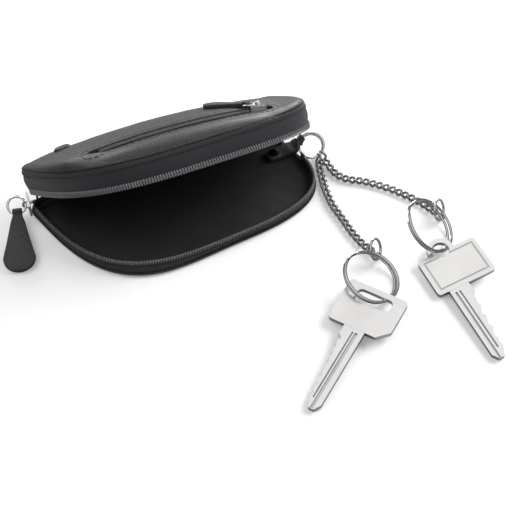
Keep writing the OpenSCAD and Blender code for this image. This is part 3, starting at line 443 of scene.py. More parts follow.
def sweepRound(path, radius, samples=10, closed=False):
    # a round wire along a path, with its side carried on from point to point
    ahead = unit((np.roll(path, -1, 0) - np.roll(path, 1, 0)) if closed else np.gradient(path, axis=0))
    guide = np.array([0.0, 0.0, 1.0]) if np.abs(ahead[:, 2]).mean() < 0.75 else np.array([1.0, 0.0, 0.0])
    side = unit(np.cross(ahead, guide))
    up = np.cross(side, ahead)
    angle = circleAngles(samples)
    radius = np.broadcast_to(radius, (len(path),))[:, None, None]
    c, s = np.cos(angle)[None, :, None], np.sin(angle)[None, :, None]
    return path[:, None] + radius * (c * side[:, None] + s * up[:, None])


# finishes
def leatherFinish(name, tone, rough=0.42, grain=900, depth=0.00009):
    finish = Finish(bpy.data.materials.new(name))
    where = finish.place()
    warp = finish.add("VectorMath", {"operation": "MULTIPLY_ADD"},
                      {0: finish.add("TexNoise", None, {"Vector": where, "Scale": 260.0, "Detail": 2.0}, 1),
                       1: (0.0012, 0.0012, 0.0012), 2: where})
    pores = finish.cells(grain, warp)
    fine = finish.cells(grain * 2.6, warp)
    cloud = finish.noise(45, 4)
    speck = finish.noise(3200, 2)
    pebble = finish.ramp(pores, (0.0, 0.0), (0.16, 0.75), (0.5, 1.0))
    height = pebble * 0.7 + finish.ramp(fine, (0.0, 0.0), (0.25, 1.0)) * 0.2 + speck * 0.1
    dark = grey(tone * 0.55)
    pale = (tone * 1.35, tone * 1.38, tone * 1.45, 1)
    colour = finish.mix(pebble * (0.45 + cloud * 0.8), dark, pale)
    roughness = rough + 0.14 * (1 - pebble) + (cloud - 0.5) * 0.16
    return finish.surface(Base_Color=colour, Roughness=roughness, Normal=finish.bump(height, depth, 0.9),
                          Specular_IOR_Level=0.5, Coat_Weight=0.15, Coat_Roughness=0.3)


def liningFinish():
    finish = Finish(bpy.data.materials.new("smoothLining"))
    cloud = finish.noise(60, 4)
    pores = finish.cells(1500)
    height = finish.ramp(pores, (0.0, 0.0), (0.3, 1.0)) * 0.5 + finish.noise(700, 3) * 0.5
    colour = finish.mix(cloud, grey(0.014), grey(0.028))
    return finish.surface(Base_Color=colour, Roughness=0.5 + cloud * 0.2, Specular_IOR_Level=0.25,
                          Normal=finish.bump(height, 0.00005, 0.7))


def tapeFinish(name, share=1.0, shine=0.3):
    # ribs run across the tape every 0.62 mm, crossed by finer threads; flow holds run and height in metres
    finish = Finish(bpy.data.materials.new(name))
    flow = finish.add("Attribute", {"attribute_name": "flow"}, output=1)
    run = finish.add("SeparateXYZ", None, {0: flow}, 0)
    rise = finish.add("SeparateXYZ", None, {0: flow}, 1)
    zig = (rise * 1450).maths("PINGPONG", rise * 1450, 1.0)
    rib = (run * 10134 + zig * 1.6).maths("SINE", run * 10134 + zig * 1.6) * 0.5 + 0.5
    thread = (rise * 12000).maths("SINE", rise * 12000) * 0.5 + 0.5
    fuzz = finish.noise(2600, 3)
    height = rib * 0.6 + thread * 0.3 + fuzz * 0.35
    colour = finish.mix(height * (0.75 * share), (0.008, 0.0085, 0.0095, 1), (0.052, 0.055, 0.062, 1))
    return finish.surface(Base_Color=colour, Roughness=0.82, Normal=finish.bump(height, 0.00011, 0.9),
                          Sheen_Weight=0.5 * shine, Specular_IOR_Level=shine)


def coilFinish(name, tone, shine=0.6):
    finish = Finish(bpy.data.materials.new(name))
    cloud = finish.noise(900, 3)
    colour = finish.mix(cloud, (tone, tone * 1.03, tone * 1.1, 1), (tone * 2, tone * 2.05, tone * 2.2, 1))
    fine = finish.bump(finish.noise(4000, 2), 0.00003, 0.5)
    return finish.surface(Base_Color=colour, Roughness=0.3 + cloud * 0.2, Normal=fine,
                          Specular_IOR_Level=shine)


def metalFinish(name, tone, rough, scratch=0.5, blotch=0.0, warm=0.0, paintedGrooveShade=0.0):
    # polished metal: fine scratches in two directions, a faint tarnish, and painted shade in its grooves,
    # holes and corners
    finish = Finish(bpy.data.materials.new(name))
    where = finish.place()
    marks = []
    for turn in (0.4, -0.9):
        drawn = {"Vector": where, "Rotation": (0, 0, turn), "Scale": (0.5, 9, 9)}
        marks.append(finish.noise(300, 4, finish.add("Mapping", None, drawn)))
    cloud = finish.noise(110, 4)
    height = marks[0] * 0.5 + marks[1] * 0.5
    colour = finish.mix(cloud * (0.6 + blotch), grey(tone, warm), grey(tone * (0.78 - blotch * 0.3), warm))
    if paintedGrooveShade:
        # painted shade: where ambient occlusion finds the surface hemmed in within 1.1 mm, the colour darkens
        # towards a near-black grey
        clear = finish.add("AmbientOcclusion", {"samples": 8, "only_local": True}, {"Distance": 0.0011}, 1)
        colour = finish.mix(paintedGrooveShade * (1 - clear * clear), colour, grey(tone * 0.12))
    roughness = rough + (cloud - 0.5) * 0.12 + (height - 0.5) * 0.1
    return finish.surface(Base_Color=colour, Metallic=1.0, Roughness=roughness,
                          Normal=finish.bump(height, 0.00002, scratch))


def threadFinish():
    finish = Finish(bpy.data.materials.new("sewingThread"))
    twist = finish.noise(5200, 2)
    return finish.surface(Base_Color=finish.mix(twist, grey(0.006), grey(0.03)), Roughness=0.7,
                          Normal=finish.bump(twist, 0.00006, 0.8))


lidLeather = leatherFinish("lidLeather", 0.028)
baseLeather = leatherFinish("baseLeather", 0.024, 0.5)
pullLeather = leatherFinish("pullLeather", 0.03, 0.55, 1050, 0.00012)
lining, thread = liningFinish(), threadFinish()
# the pocket's coil and tape are darker than the main zip's coil and tape: painted shade for the inside of the
# pocket's slit
coil, shadedPocketNylon = coilFinish("coilNylon", 0.15), coilFinish("shadedPocketNylon", 0.045, 0.5)
tape, shadedPocketWeave = tapeFinish("ribbedTape"), tapeFinish("shadedPocketWeave", 0.05, 0.02)
silver = metalFinish("brightNickel", 0.85, 0.12, 0.3)
ringNickel = metalFinish("ringNickel", 0.72, 0.12, 0.3, 0.1)
darkNickel = metalFinish("darkNickel", 0.42, 0.16, 0.35, 0.15)
gunmetal = metalFinish("gunmetal", 0.42, 0.24, 0.4, 0.2)
# satinKey: the last value puts painted shade in the keys' grooves, cuts and bow holes
keyNickel = metalFinish("satinKey", 0.92, 0.3, 0.5, 0.05, 0.012, 1.0)
rivetBlack = metalFinish("blackedSteel", 0.06, 0.3, 0.4, 0.2)
print("finishes made")

# lower half
lower = {"rim": 2.8, "round": 1.8, "fillet": 2.2, "wrinkle": 0.12, "edge": 1.6, "bulge": 0.8,
         "cornerBulge": 2.1, "out": 0.1, "edgeRound": 0.25, "hemRound": 0.12, "hemDrop": 0.15}


def ringRow(inside, height):
    return level(columnRuns, inside, height)


def cornerShare(run):
    # the front left corner, where the lower wall bulges most
    return np.exp(-((run - runAt(-122)) / 25) ** 2)


def spineRow(height):
    return np.concatenate([spinePlan, np.full((case["columns"], 1), float(height))], -1)


def toSpine(row, shares, height):
    # rows between a ring and the spine line, at a height that may vary with the place
    rows = []
    for share in shares:
        plan = row[..., :2] + share * (spinePlan - row[..., :2])
        rows.append(raised(plan, height(plan)))
    return rows


def sag(plan):
    # how far a lining wrinkles from its flat bed, and not at all on the spine
    inward = distance(plan - spineNear(plan))
    return lower["wrinkle"] * (1 + wrinkle(plan)) * ramped(inward, 0, case["sagReach"])


def makeLowerLeather():
    t, rim, w = case["leather"], lower["edge"], lower["round"]
    out = lower["out"] + lower["cornerBulge"] * cornerShare(columnRuns)
    roundHeight = rim - t / 3
    r = lower["edgeRound"]
    rows = toSpine(ringRow(w, 0.0), [1, 0.85, 0.65, 0.4, 0.2], lambda p: np.zeros(len(p)))
    for a in np.linspace(0, np.pi / 2, 13):
        rows.append(ringRow((w + out) * (1 - np.sin(a)) - out, roundHeight * (1 - np.cos(a))))
    rows.append(ringRow(-out, roundHeight + 0.15))
    for a in np.linspace(0.2, np.pi / 2, 4):
        rows.append(ringRow(r * (1 - np.cos(a)) - out, rim - r + r * np.sin(a)))
    rows += [ringRow(t - 0.2, rim), ringRow(t, rim - 0.2), ringRow(t, t)]
    rows += toSpine(ringRow(t, t), [0.15, 0.4, 0.7, 1], lambda p: np.full(len(p), t))
    fit("lowerLeather", closedPart(np.array(rows)),
        "lower_half", "leather", baseLeather, "lower_panel", merge=True)


def hemRows(k0, k1, edge, way):
    # the rounded edge of a lining between two distances in; way is 1 where the cloth stands over the edge
    inner, body = lower["hemRound"], edge + way * lower["hemDrop"]
    return [ringRow(k0, body), ringRow(k0 + inner, edge), ringRow(k1 - inner, edge), ringRow(k1, body)]


def makeLowerLining():
    k0, t, base = case["liningK"], case["lining"], case["leather"]
    top, f = lower["rim"] + t / 2, lower["fillet"]
    bed = base + t
    k1 = k0 + t
    rows = [spineRow(base)] + toSpine(ringRow(k0, base), [0.6, 0.25], lambda p: np.full(len(p), base))
    rows += [ringRow(k0, base)] + hemRows(k0, k1, top, -1)
    for a in np.linspace(0.05, np.pi / 2, 9):
        rows.append(ringRow(k1 + f * (1 - np.cos(a)), bed + (top - 0.2 - bed) * (1 - np.sin(a))))

    def bedHeight(plan):
        return bed + sag(plan) + 0.02

    rows += toSpine(ringRow(k1 + f + 0.8, bed), np.linspace(0, 1, 26), bedHeight)
    fit("lowerLining", closedPart(np.array(rows)),
        "lower_half", "lining", lining, "lower_lining", merge=True)


def stripAlongRim(run0, run1, step, k0, k1, z0, z1, low, high, full, cornerFull=0.0):
    # a band that stands on the outline, with rounded edges; flow holds its run and height
    n = int(np.ceil((run1 - run0) / step)) + 1
    runs = np.linspace(run0, run1, n)[:, None]
    section = roundedSection((k1 - k0) / 2, (z1 - z0) / 2, lower["edgeRound"], 16)
    rise = (np.linspace(0, 1, 9) * 2 - 1) * ((z1 - z0) / 2 - lower["edgeRound"])
    up = np.stack([np.full(9, -(k1 - k0) / 2), rise], -1)
    down = np.stack([np.full(9, (k1 - k0) / 2), -rise], -1)
    corners = [section[k:k + 4][::-1] for k in (4, 0, 12, 8)]
    loop = np.concatenate([up, *corners[:2], down, *corners[2:]])
    height = (z0 + z1) / 2 + loop[:, 1][None]
    share = ramped(height, low, high)
    inside = (k0 + k1) / 2 + loop[:, 0][None] - full * np.sin(np.pi * share)
    inside = inside - cornerFull * cornerShare(runs) * np.cos(np.pi / 2 * share)
    grid = level(np.broadcast_to(runs, (n, len(loop))), inside, np.broadcast_to(height, (n, len(loop))))
    flow = np.stack(np.broadcast_arrays(runs, height), -1) * mm
    return grid, flow


zipLine = {"sliderTurn": -188.8, "tapeStart": -222, "lowerEnd": -9, "upperEnd": 3,
           "shutGap": 0.3, "setBack": 0.896, "travel": 2.4, "wire": 0.21, "coilPitch": 1.12,
           "coilHeight": 2.5, "coilLean": 0.16, "coilDepth": 0.34, "coilThrow": 0.26, "sliderBack": 0.42,
           "bulgeStop": 2.3}
sliderRun = runAt(zipLine["sliderTurn"])
teethStart = sliderRun + zipLine["travel"] + zipLine["sliderBack"]
lowerTeethEnd = runAt(zipLine["lowerEnd"]) - case["pitch"]
upperTeethEnd = lowerTeethEnd + case["pitch"]


def makeTapes():
    k0, k1 = case["leather"], case["liningK"]
    grid, flow = stripAlongRim(runAt(zipLine["tapeStart"]), runAt(zipLine["lowerEnd"]), 1.0, k0, k1,
                               case["leather"], case["parting"] - zipLine["setBack"],
                               lower["edge"], case["parting"] - zipLine["bulgeStop"], lower["bulge"],
                               lower["cornerBulge"])
    fit("lowerZipTape", closedPart(grid, caps=True, flow=flow),
        "lower_half", "zip_tape", tape, "lower_tape")
    grid, flow = stripAlongRim(runAt(zipLine["tapeStart"]), runAt(zipLine["upperEnd"]), 1.0, k0, k1,
                               case["parting"] + zipLine["setBack"], case["shoulderZ"],
                               case["parting"] + zipLine["bulgeStop"], case["shoulderZ"], lower["bulge"])
    fit("upperZipTape", closedPart(opened(grid), caps=True, flow=flow),
        "flap", "zip_tape", tape, "upper_tape")


def coilPath(run0, run1, height, side):
    # a flattened helix: straight across the outside of the tape, and slanting on to the next bar behind it
    count = int((run1 - run0) / zipLine["coilPitch"])
    turn = np.arange(16 * count + 1) / 16
    share = np.mod(turn, 1)
    onward = np.clip(share * 2 - 1, 0, 1)
    c, s = np.cos(2 * np.pi * share), np.sin(2 * np.pi * share)
    run = run0 + zipLine["coilPitch"] * (np.floor(turn) + onward + 0.5 + zipLine["coilLean"] * c)
    inside = case["leather"] - zipLine["coilDepth"] - zipLine["coilThrow"] * s
    rise = height + side * (zipLine["coilHeight"] / 2 - zipLine["wire"]) * signedPower(c, 0.7)
    return level(run, inside, rise)


def makeCoils():
    h = zipLine["coilHeight"] / 2 + zipLine["shutGap"] / 2
    path = coilPath(teethStart, lowerTeethEnd, case["parting"] - h, 1)
    fit("lowerCoil", closedPart(sweepRound(path, zipLine["wire"], 7), caps=True),
        "lower_half", "zip_teeth", coil, "lower_teeth", smoothAngle=80)
    path = coilPath(teethStart, upperTeethEnd, case["parting"] + h, -1)
    fit("upperCoil", closedPart(opened(sweepRound(path, zipLine["wire"], 7)), caps=True),
        "flap", "zip_teeth", coil, "upper_teeth", smoothAngle=80)


def stitchRow(path, normal, length, gap, radius):
    # short capsules laid end to end along a path, each sunk at its ends
    runs = np.concatenate([[0], np.cumsum(distance(np.diff(path, axis=0)))])
    count = int(runs[-1] / (length + gap))
    pitch = runs[-1] / count
    at = (np.arange(count)[:, None] + 0.5) * pitch + np.linspace(-0.5, 0.5, 9)[None] * length
    lay = np.stack([np.interp(at, runs, path[:, k]) for k in range(3)], -1)
    out = unit(np.stack([np.interp(at, runs, normal[:, k]) for k in range(3)], -1))
    hump = 1 - np.linspace(-1, 1, 9) ** 4
    lay = lay + out * (radius * (1.3 * hump - 0.9))[None, :, None]
    taper = radius * np.maximum(np.sqrt(np.clip(1 - np.linspace(-1, 1, 9) ** 6, 0, 1)), 0.25)
    return [closedPart(sweepRound(one, taper, 6), caps=True) for one in lay]


makeLowerLeather()
makeLowerLining()
makeTapes()
makeCoils()
print("lower half and zip made")

# lid
lid = {"slitLeft": -38, "slitRight": 38, "slitY": -12.5, "slitHalf": 2.1, "lip": 0.06, "creaseDepth": 0.55,
       "creaseAt": 2.3, "wrinkle": 0.08, "slope": 0.27, "rise": 1.5, "full": 0.86, "frontDrop": 0.45,
       "frontReach": 1.8, "least": case["shoulderZ"] + 3, "endShoulder": 5, "endFrom": 33, "endTo": 49,
       "swellTo": 36, "swellEnd": 52, "rearFrom": 4, "rearEnd": 21, "lipReach": 1.1, "seamDepth": 0.16,
       "seamAt": 2.0, "seamWidth": 0.35, "wrinkleFrom": 4, "creaseWidth": 0.28, "creaseIn": 0.9,
       "creaseSlope": 0.45, "thinning": 0.45, "thinReach": 1.6, "lipRound": 0.35,
       "liningGap": 3.1, "seamSink": 0.3, "pocketSeam": 2.0, "pocketSeamSink": 0.12}


def crownEnds(x):
    # 1 along the middle of the crown, and down to 0 at its ends
    return ramped(np.abs(x - case["spineMiddle"]), lid["swellEnd"], lid["swellTo"])


def swell(plan):
    # leans forward at the slit, comes up behind it, and fades to the crown's own line at the ends and rear
    away = plan[..., 1] - lid["slitY"]
    behind = lid["rise"] * (1 - np.exp(-np.maximum(away, 0) * lid["slope"] / lid["rise"]))
    rear = ramped(plan[..., 1], lid["rearEnd"], lid["rearFrom"])
    return (np.minimum(away, 0) * lid["slope"] + behind) * eased(crownEnds(plan[..., 0])) * eased(rear)


def lidShoulder(angle):
    # the outer leather's shoulder: fuller than a quarter of an ellipse, from the brim up to the swollen crown
    a = np.radians(angle)
    ends = ramped(np.abs(along(columnRuns)[:, 0] + 1), lid["endFrom"], lid["endTo"])
    width = case["shoulder"] + (lid["endShoulder"] - case["shoulder"]) * eased(ends)
    plan = domePlan(columnRuns, case["brim"] + (width - case["brim"]) * (1 - np.cos(a) ** lid["full"]))
    top = np.maximum(crownHeight(plan[..., 0]), lid["least"]) + swell(plan)
    return raised(plan, case["shoulderZ"] + (top - case["shoulderZ"]) * np.sin(a) ** lid["full"])


def slitPlan(plan, away):
    # the nearest point of a long rounded loop round the pocket's slit, at a distance from its middle line
    x = np.clip(plan[..., 0], lid["slitLeft"] + lid["slitHalf"], lid["slitRight"] - lid["slitHalf"])
    middle = np.stack([x, np.full_like(x, lid["slitY"])], -1)
    return middle + away * unit(plan - middle)


def makeUpperLeather():
    t, edgeZ, shoulderZ, least = case["leather"], case["edgeZ"], case["shoulderZ"], case["leastZ"]
    ring = lidShoulder(90.0)
    lipRing = slitPlan(ring[..., :2], lid["slitHalf"])
    reach = distance(ring[..., :2] - lipRing)

    def outer(share):
        share = np.broadcast_to(share, (case["columns"],))
        plan = lipRing + share[:, None] * (ring[..., :2] - lipRing)
        away = share * reach
        lipped = lid["lip"] * np.exp(-(away / lid["lipReach"]) ** 2)
        lipped = lipped - lid["seamDepth"] * np.exp(-((away - lid["seamAt"]) / lid["seamWidth"]) ** 2)
        front = np.clip(lid["slitY"] - plan[..., 1], 0, 1)
        lipped = lipped - lid["frontDrop"] * front * np.exp(-(away / lid["frontReach"]) ** 2)
        fade = ramped(away, 0, lid["wrinkleFrom"])
        z = np.maximum(crownHeight(plan[..., 0]), lid["least"]) + swell(plan) + lipped
        z = z + lid["wrinkle"] * fade * wrinkle(plan)
        return raised(plan, z)

    def inner(share):
        plan = lipRing + share * (innerRing[..., :2] - lipRing)
        away = share * distance(innerRing[..., :2] - lipRing)
        thin = lid["thinning"] * np.exp(-(away / lid["thinReach"]) ** 4)
        z = np.maximum(crownHeight(plan[..., 0]) - t, least - t) + thin
        z += np.clip(1 - share * 1.4, 0, 1) * np.minimum(swell(plan), 0.6)
        return raised(plan, z)

    innerRing = shoulderPoint(columnRuns, 90.0, t, shoulderZ, t, least - t)
    rows = [inner(0.0)]
    first = outer(0.0)
    for a in np.linspace(0, np.pi / 2, 5):
        outward = unit(ring[..., :2] - lipRing)
        plan = lipRing + outward * lid["lipRound"] * (1 - np.cos(a))
        rows.append(raised(plan, first[..., 2] - lid["lipRound"] * (1 - np.sin(a))))
    closeDistances = np.array([0.55, 0.8, 1.1, 1.4, 1.6, 1.8, 2.0, 2.2, 2.4, 2.7, 3.2])
    nearShares = closeDistances[:, None] / reach * np.minimum(1, reach / 6)
    rows += [outer(share) for share in nearShares]
    for share in np.linspace(0, 1, 14)[1:]:
        rows.append(outer(nearShares[-1] + (1 - nearShares[-1]) * share))
    arcs = 90 * (1 - np.linspace(0, 1, 44)[1:] ** 1.15)
    for a in arcs:
        row = lidShoulder(a)
        up = row[..., 2] - edgeZ
        dip = lid["creaseDepth"] * np.exp(-((up - lid["creaseAt"]) / lid["creaseWidth"]) ** 2)
        inwardWay = unit(spineNear(row[..., :2]) - row[..., :2])
        row[..., :2] += inwardWay * dip[..., None] * lid["creaseIn"]
        row[..., 2] -= dip * lid["creaseSlope"]
        row[..., 2] += lid["wrinkle"] * wrinkle(row) * np.sin(np.radians(a)) ** 2
        rows.append(row)
    # the cut edge of the leather, as heights over it and distances in from the brim
    for up, k in ((1.1, -0.05), (0.8, -0.08), (0.5, -0.06), (0.28, 0.02), (0.1, 0.14), (0.0, 0.3), (0.0, 0.5),
                  (0.05, 0.6), (0.25, 0.7)):
        rows.append(ringRow(case["brim"] + k, edgeZ + up))
    for a in np.linspace(0, 90, 16):
        rows.append(shoulderPoint(columnRuns, a, t, shoulderZ, t, least - t))
    for share in (0.7, 0.35, 0.2, 0.12):
        rows.append(inner(share))
    fit("lidLeather", closedPart(opened(np.array(rows)), closeAlong=True),
        "flap", "leather", lidLeather, "upper_panel", merge=True, smoothAngle=75)


def makeUpperLining():
    k, t = case["liningK"], case["lining"]
    edgeZ = case["parting"] + lid["liningGap"]
    shoulderZ = edgeZ + lower["rim"]
    drop, least = case["room"], shoulderZ + 2 * t
    outerRing = shoulderPoint(columnRuns, 90.0, k, shoulderZ, drop, least)
    innerRing = shoulderPoint(columnRuns, 90.0, k + t, shoulderZ, drop + t, least - t)

    def outerTop(plan):
        return np.maximum(crownHeight(plan[..., 0]) - drop, least)

    def innerTop(plan):
        return np.maximum(crownHeight(plan[..., 0]) - drop - t, least - t) - sag(plan)

    rows = toSpine(outerRing, [1, 0.75, 0.5, 0.25], outerTop)
    rows += [shoulderPoint(columnRuns, a, k, shoulderZ, drop, least) for a in np.linspace(90, 0, 14)]
    rows += hemRows(k, k + t, edgeZ, 1)
    for a in np.linspace(0, 90, 14):
        rows.append(shoulderPoint(columnRuns, a, k + t, shoulderZ, drop + t, least - t))
    rows += toSpine(innerRing, np.linspace(0, 1, 22)[1:], innerTop)
    fit("lidLining", closedPart(opened(np.array(rows))),
        "flap", "lining", lining, "upper_lining", merge=True)


def makeLidSeams():
    # the lid's topstitch lies in the crease over its edge, and the pocket's round its slit
    runs = np.linspace(runAt(-215), runAt(-215) + outlineLength, 900)
    angles = np.linspace(0, 30, 240)
    fan = shoulderPoint(runs[:, None], angles[None], case["brim"], case["shoulderZ"], 0.0, case["leastZ"])
    pick = np.abs(fan[..., 2] - case["edgeZ"] - lid["creaseAt"]).argmin(1)
    line = fan[np.arange(len(runs)), pick]
    out = np.concatenate([-unit(spineNear(line[:, :2]) - line[:, :2]), np.full((len(runs), 1), 0.6)], -1)
    line = line - unit(out) * lid["seamSink"]
    parts = stitchRow(opened(line), turned(out, x=-case["openAngle"]), 2.1, 0.75, 0.17)
    fit("edgeStitches", parts, "flap", "leather", thread)

    away = lid["slitHalf"] + lid["pocketSeam"]
    x0, x1 = lid["slitLeft"] + lid["slitHalf"], lid["slitRight"] - lid["slitHalf"]
    turn = np.linspace(0, np.pi, 30)
    ends = [np.stack([x1 + away * np.sin(turn), lid["slitY"] - away * np.cos(turn)], -1),
            np.stack([x0 - away * np.sin(turn), lid["slitY"] + away * np.cos(turn)], -1)]
    sides = [np.linspace(a, b, 120) for a, b in ((ends[0][-1], ends[1][0]), (ends[1][-1], ends[0][0]))]
    plan = np.concatenate([ends[0], sides[0][1:], ends[1][1:], sides[1][1:]])
    z = np.maximum(crownHeight(plan[:, 0]), case["leastZ"]) + swell(plan) - lid["pocketSeamSink"]
    line = np.c_[plan, z]
    out = np.tile([0.0, 0.0, 1.0], (len(line), 1))
    parts = stitchRow(opened(line), turned(out, x=-case["openAngle"]), 1.9, 0.6, 0.14)
    fit("pocketStitches", parts, "flap", "leather", thread)


makeUpperLeather()
makeUpperLining()
makeLidSeams()
print("lid made")

# gusset along the hinge
gussetRows = 150


def makeGusset():
    # each section climbs from the lower wall to the lid's along a smoothed polyline, and comes back inside
    runs = np.linspace(runAt(zipLine["upperEnd"]), runAt(zipLine["tapeStart"]) + outlineLength, gussetRows)

    def side(k):
        lowerZ = np.linspace(case["leather"], case["parting"] - 0.45, 7)
        upperZ = np.linspace(case["parting"] + 0.9, case["shoulderZ"], 10)
        start = np.stack([level(runs, k, z) for z in lowerZ], 1)
        finish = opened(np.stack([level(runs, k, z) for z in upperZ], 1))
        joint = np.concatenate([start, finish], 1)
        for _ in range(3):
            joint[:, 3:11] = 0.25 * joint[:, 2:10] + 0.5 * joint[:, 3:11] + 0.25 * joint[:, 4:12]
        return joint
    outerSide, innerSide = side(case["leather"]), side(case["liningK"])
    grid = np.concatenate([outerSide, innerSide[:, ::-1]], 1)
    piece = fit("hingeGusset", closedPart(grid, caps=True), None, "leather", baseLeather, "spine_gusset")
    rear = level(np.array([0.0]), case["leather"], case["parting"])[0]
    foot, head = rear + [0, 0, -0.6], opened(rear + [0, 0, 0.9])
    tuple(foot * mm)
    tuple(head * mm)
    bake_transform(piece)


makeGusset()
print("gusset made")

# pocket zip
pocket = {"tapeTop": -0.85, "tapeWidth": 5.6, "coilWidth": 2.8, "pitch": 1.12, "sliderX": 32, "wire": 0.22,
          "leanReach": 3.2, "endInset": 4.4, "coilApart": 0.5, "coilStart": 0.3, "coilRest": 0.33,
          "coilSwing": 0.14, "bagWidth": 32.5, "bagFoot": 1.1, "bagRound": 1.2}


def onCrown(points, x, y, height):
    # from a frame on the crown, X along its arc and Z square to it
    turn = np.degrees(np.arcsin((x + case["crownShift"]) / case["crownRadius"]))
    moved = turned(points + np.array([0, 0, case["crownRadius"] + height]), y=turn)
    return moved + np.array([-case["crownShift"], y, case["crownZ"] - case["crownRadius"]])


def bent(x, y, height):
    # a point over the crown's arc: x is the place along the case, height is over the leather
    turn = np.arcsin((x + case["crownShift"]) / case["crownRadius"])
    close = np.exp(-((y - lid["slitY"]) / pocket["leanReach"]) ** 4) * crownEnds(x)
    r = case["crownRadius"] + height + lid["slope"] * (y - lid["slitY"]) * close
    height = case["crownZ"] - case["crownRadius"] + r * np.cos(turn)
    x, y, height = np.broadcast_arrays(-case["crownShift"] + r * np.sin(turn), y, height)
    return np.stack([x, y, height], -1)


def makePocket():
    x = np.linspace(lid["slitLeft"] - 0.6, lid["slitRight"] + 0.6, 110)
    lines = np.linspace(-1, 1, 17)
    halfWidth = pocket["tapeWidth"] / 2
    top = np.stack([lines * halfWidth, np.full(17, pocket["tapeTop"])], -1)
    loop = np.concatenate([top, top[::-1] - [0, case["tape"]]])
    grid = bent(x[:, None], lid["slitY"] + loop[None, :, 0], loop[None, :, 1])
    flow = np.stack(np.broadcast_arrays(x[:, None], loop[None, :, 0] + 10), -1) * mm
    fit("pocketZipTape", closedPart(opened(grid), caps=True, flow=flow),
        "flap", "zip_tape", shadedPocketWeave, "pocket_tape")

    parts = []
    coilLeft, coilRight = lid["slitLeft"] + pocket["endInset"], lid["slitRight"] - pocket["endInset"]
    count = int((coilRight - coilLeft) / pocket["pitch"])
    coilReach = pocket["coilWidth"] / 2 - pocket["coilApart"] - pocket["wire"]
    for side in (-1, 1):
        # the front row stands half a pitch on from the rear one
        start = coilLeft + pocket["coilStart"] + (pocket["pitch"] / 2 if side > 0 else 0)
        t = np.linspace(0, 2 * np.pi * count, 12 * count + 1)
        x = start + pocket["pitch"] * (t - 0.7 * np.cos(t)) / (2 * np.pi)
        y = lid["slitY"] + side * pocket["coilApart"] + coilReach * signedPower(np.cos(t), 0.75)
        height = pocket["tapeTop"] + pocket["coilRest"] + pocket["coilSwing"] * np.sin(t)
        parts.append(closedPart(opened(sweepRound(bent(x, y, height), pocket["wire"], 6)), caps=True))
    fit("pocketCoil", parts,
        "flap", "zip_teeth", shadedPocketNylon, "pocket_teeth", smoothAngle=80)

    # lining bag under the slit, a closed block that follows the crown, with rounded sides
    x = np.linspace(coilLeft, coilRight, 90)
    y0 = lid["slitY"] - halfWidth + pocket["bagWidth"] / 2
    high, low = pocket["tapeTop"] - case["tape"] - 0.1, pocket["bagFoot"] - case["room"]
    edge = roundedSection(pocket["bagWidth"] / 2, (high - low) / 2, pocket["bagRound"], 40)
    grid = bent(x[:, None], y0 + edge[None, :, 0], (high + low) / 2 + edge[None, :, 1])
    fit("pocketBag", closedPart(opened(grid), caps=True),
        "flap", "lining", lining, "pocket_bag")


makePocket()


def copyNode(node, name, body, slotName, material, bevel=0.15, segments=2, limit=30):
    # a CAD node's own mesh, merged, with its edges rounded
    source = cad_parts[node].data
    mesh = bpy.data.meshes.new(name)
    mesh.from_pydata([v.co[:] for v in source.vertices], [], [list(p.vertices) for p in source.polygons])
    work = bmesh.new()
    work.from_mesh(mesh)
    bmesh.ops.remove_doubles(work, verts=work.verts, dist=2e-6)
    bmesh.ops.dissolve_limit(work, angle_limit=np.radians(0.6), verts=work.verts, edges=work.edges)
    work.to_mesh(mesh)
    work.free()
    piece = shown(name, mesh, 50)
    if bevel:
        rounding = piece.modifiers.new("rounding", "BEVEL")
        rounding.width, rounding.segments, rounding.limit_method = bevel * mm, segments, "ANGLE"
        rounding.angle_limit, rounding.harden_normals = np.radians(limit), True
    return seat(piece, body, slotName, material, node)


copyNode("lower_stop", "lowerStop", "lower_half", "gunmetal", gunmetal, 0.15)
copyNode("upper_stop", "upperStop", "flap", "gunmetal", gunmetal, 0.15)
copyNode("pocket_stops", "pocketStops", "flap", "gunmetal", gunmetal, 0.12)
copyNode("stud_cap", "studCap", "flap", "leather", pullLeather, 0.35, 3)
copyNode("stud_washer", "studWasher", "flap", "gunmetal", gunmetal, 0.08)
copyNode("zip_slider", "zipSlider", "main_slider", "gunmetal", silver, 0.25, 3)
copyNode("pocket_slider", "pocketSlider", "pocket_slider", "gunmetal", silver, 0.2, 3)
copyNode("strap_rivet", "strapRivet", "lower_half", "gunmetal", rivetBlack, 0.12, 2)
print("pocket zip and small metal parts made")

# D rings and leather pulls
pulls = {"mainRing": 3.7, "mainWire": 1.0, "mainTurn": -13, "mainTip": 36, "mainRest": 7.3,
         "mainLength": 28, "mainWidth": 13, "mainNeck": 5, "thick": 1.8, "bar": 0.7, "pocketRing": 3.108,
         "pocketWire": 0.8, "pocketTurn": 131, "pocketTip": 1, "pocketTabTip": -1, "pocketLength": 20,
         "pocketWidth": 8, "pocketNeck": 3.2, "play": 0.6, "wall": 0.72, "roundTip": 2.2, "around": 40,
         "mainBail": 2.2, "mainBailWire": 0.8, "plate": 0.9, "plateSink": 0.1, "pocketBail": 1.9,
         "pocketBailWire": 0.7, "pocketSliderTop": 1.0}


def barDrop(r):
    return np.sqrt(r * r - (pulls["bar"] * r) ** 2)


def dRing(r, wire):
    # an arc closed by a straight bar, with the corners eased by averaging the path
    barY = -barDrop(r)
    gap = np.arccos(-barY / r)
    angle = np.linspace(-np.pi / 2 + gap, 1.5 * np.pi - gap, 120)
    arc = circlePath(r, angle)
    bar = np.linspace(arc[-1], arc[0], 42)[1:-1]
    path = np.concatenate([arc, bar])
    for _ in range(4):
        path = 0.25 * np.roll(path, 1, 0) + 0.5 * path + 0.25 * np.roll(path, -1, 0)
    return sweepRound(path, wire / 2, 14, closed=True)


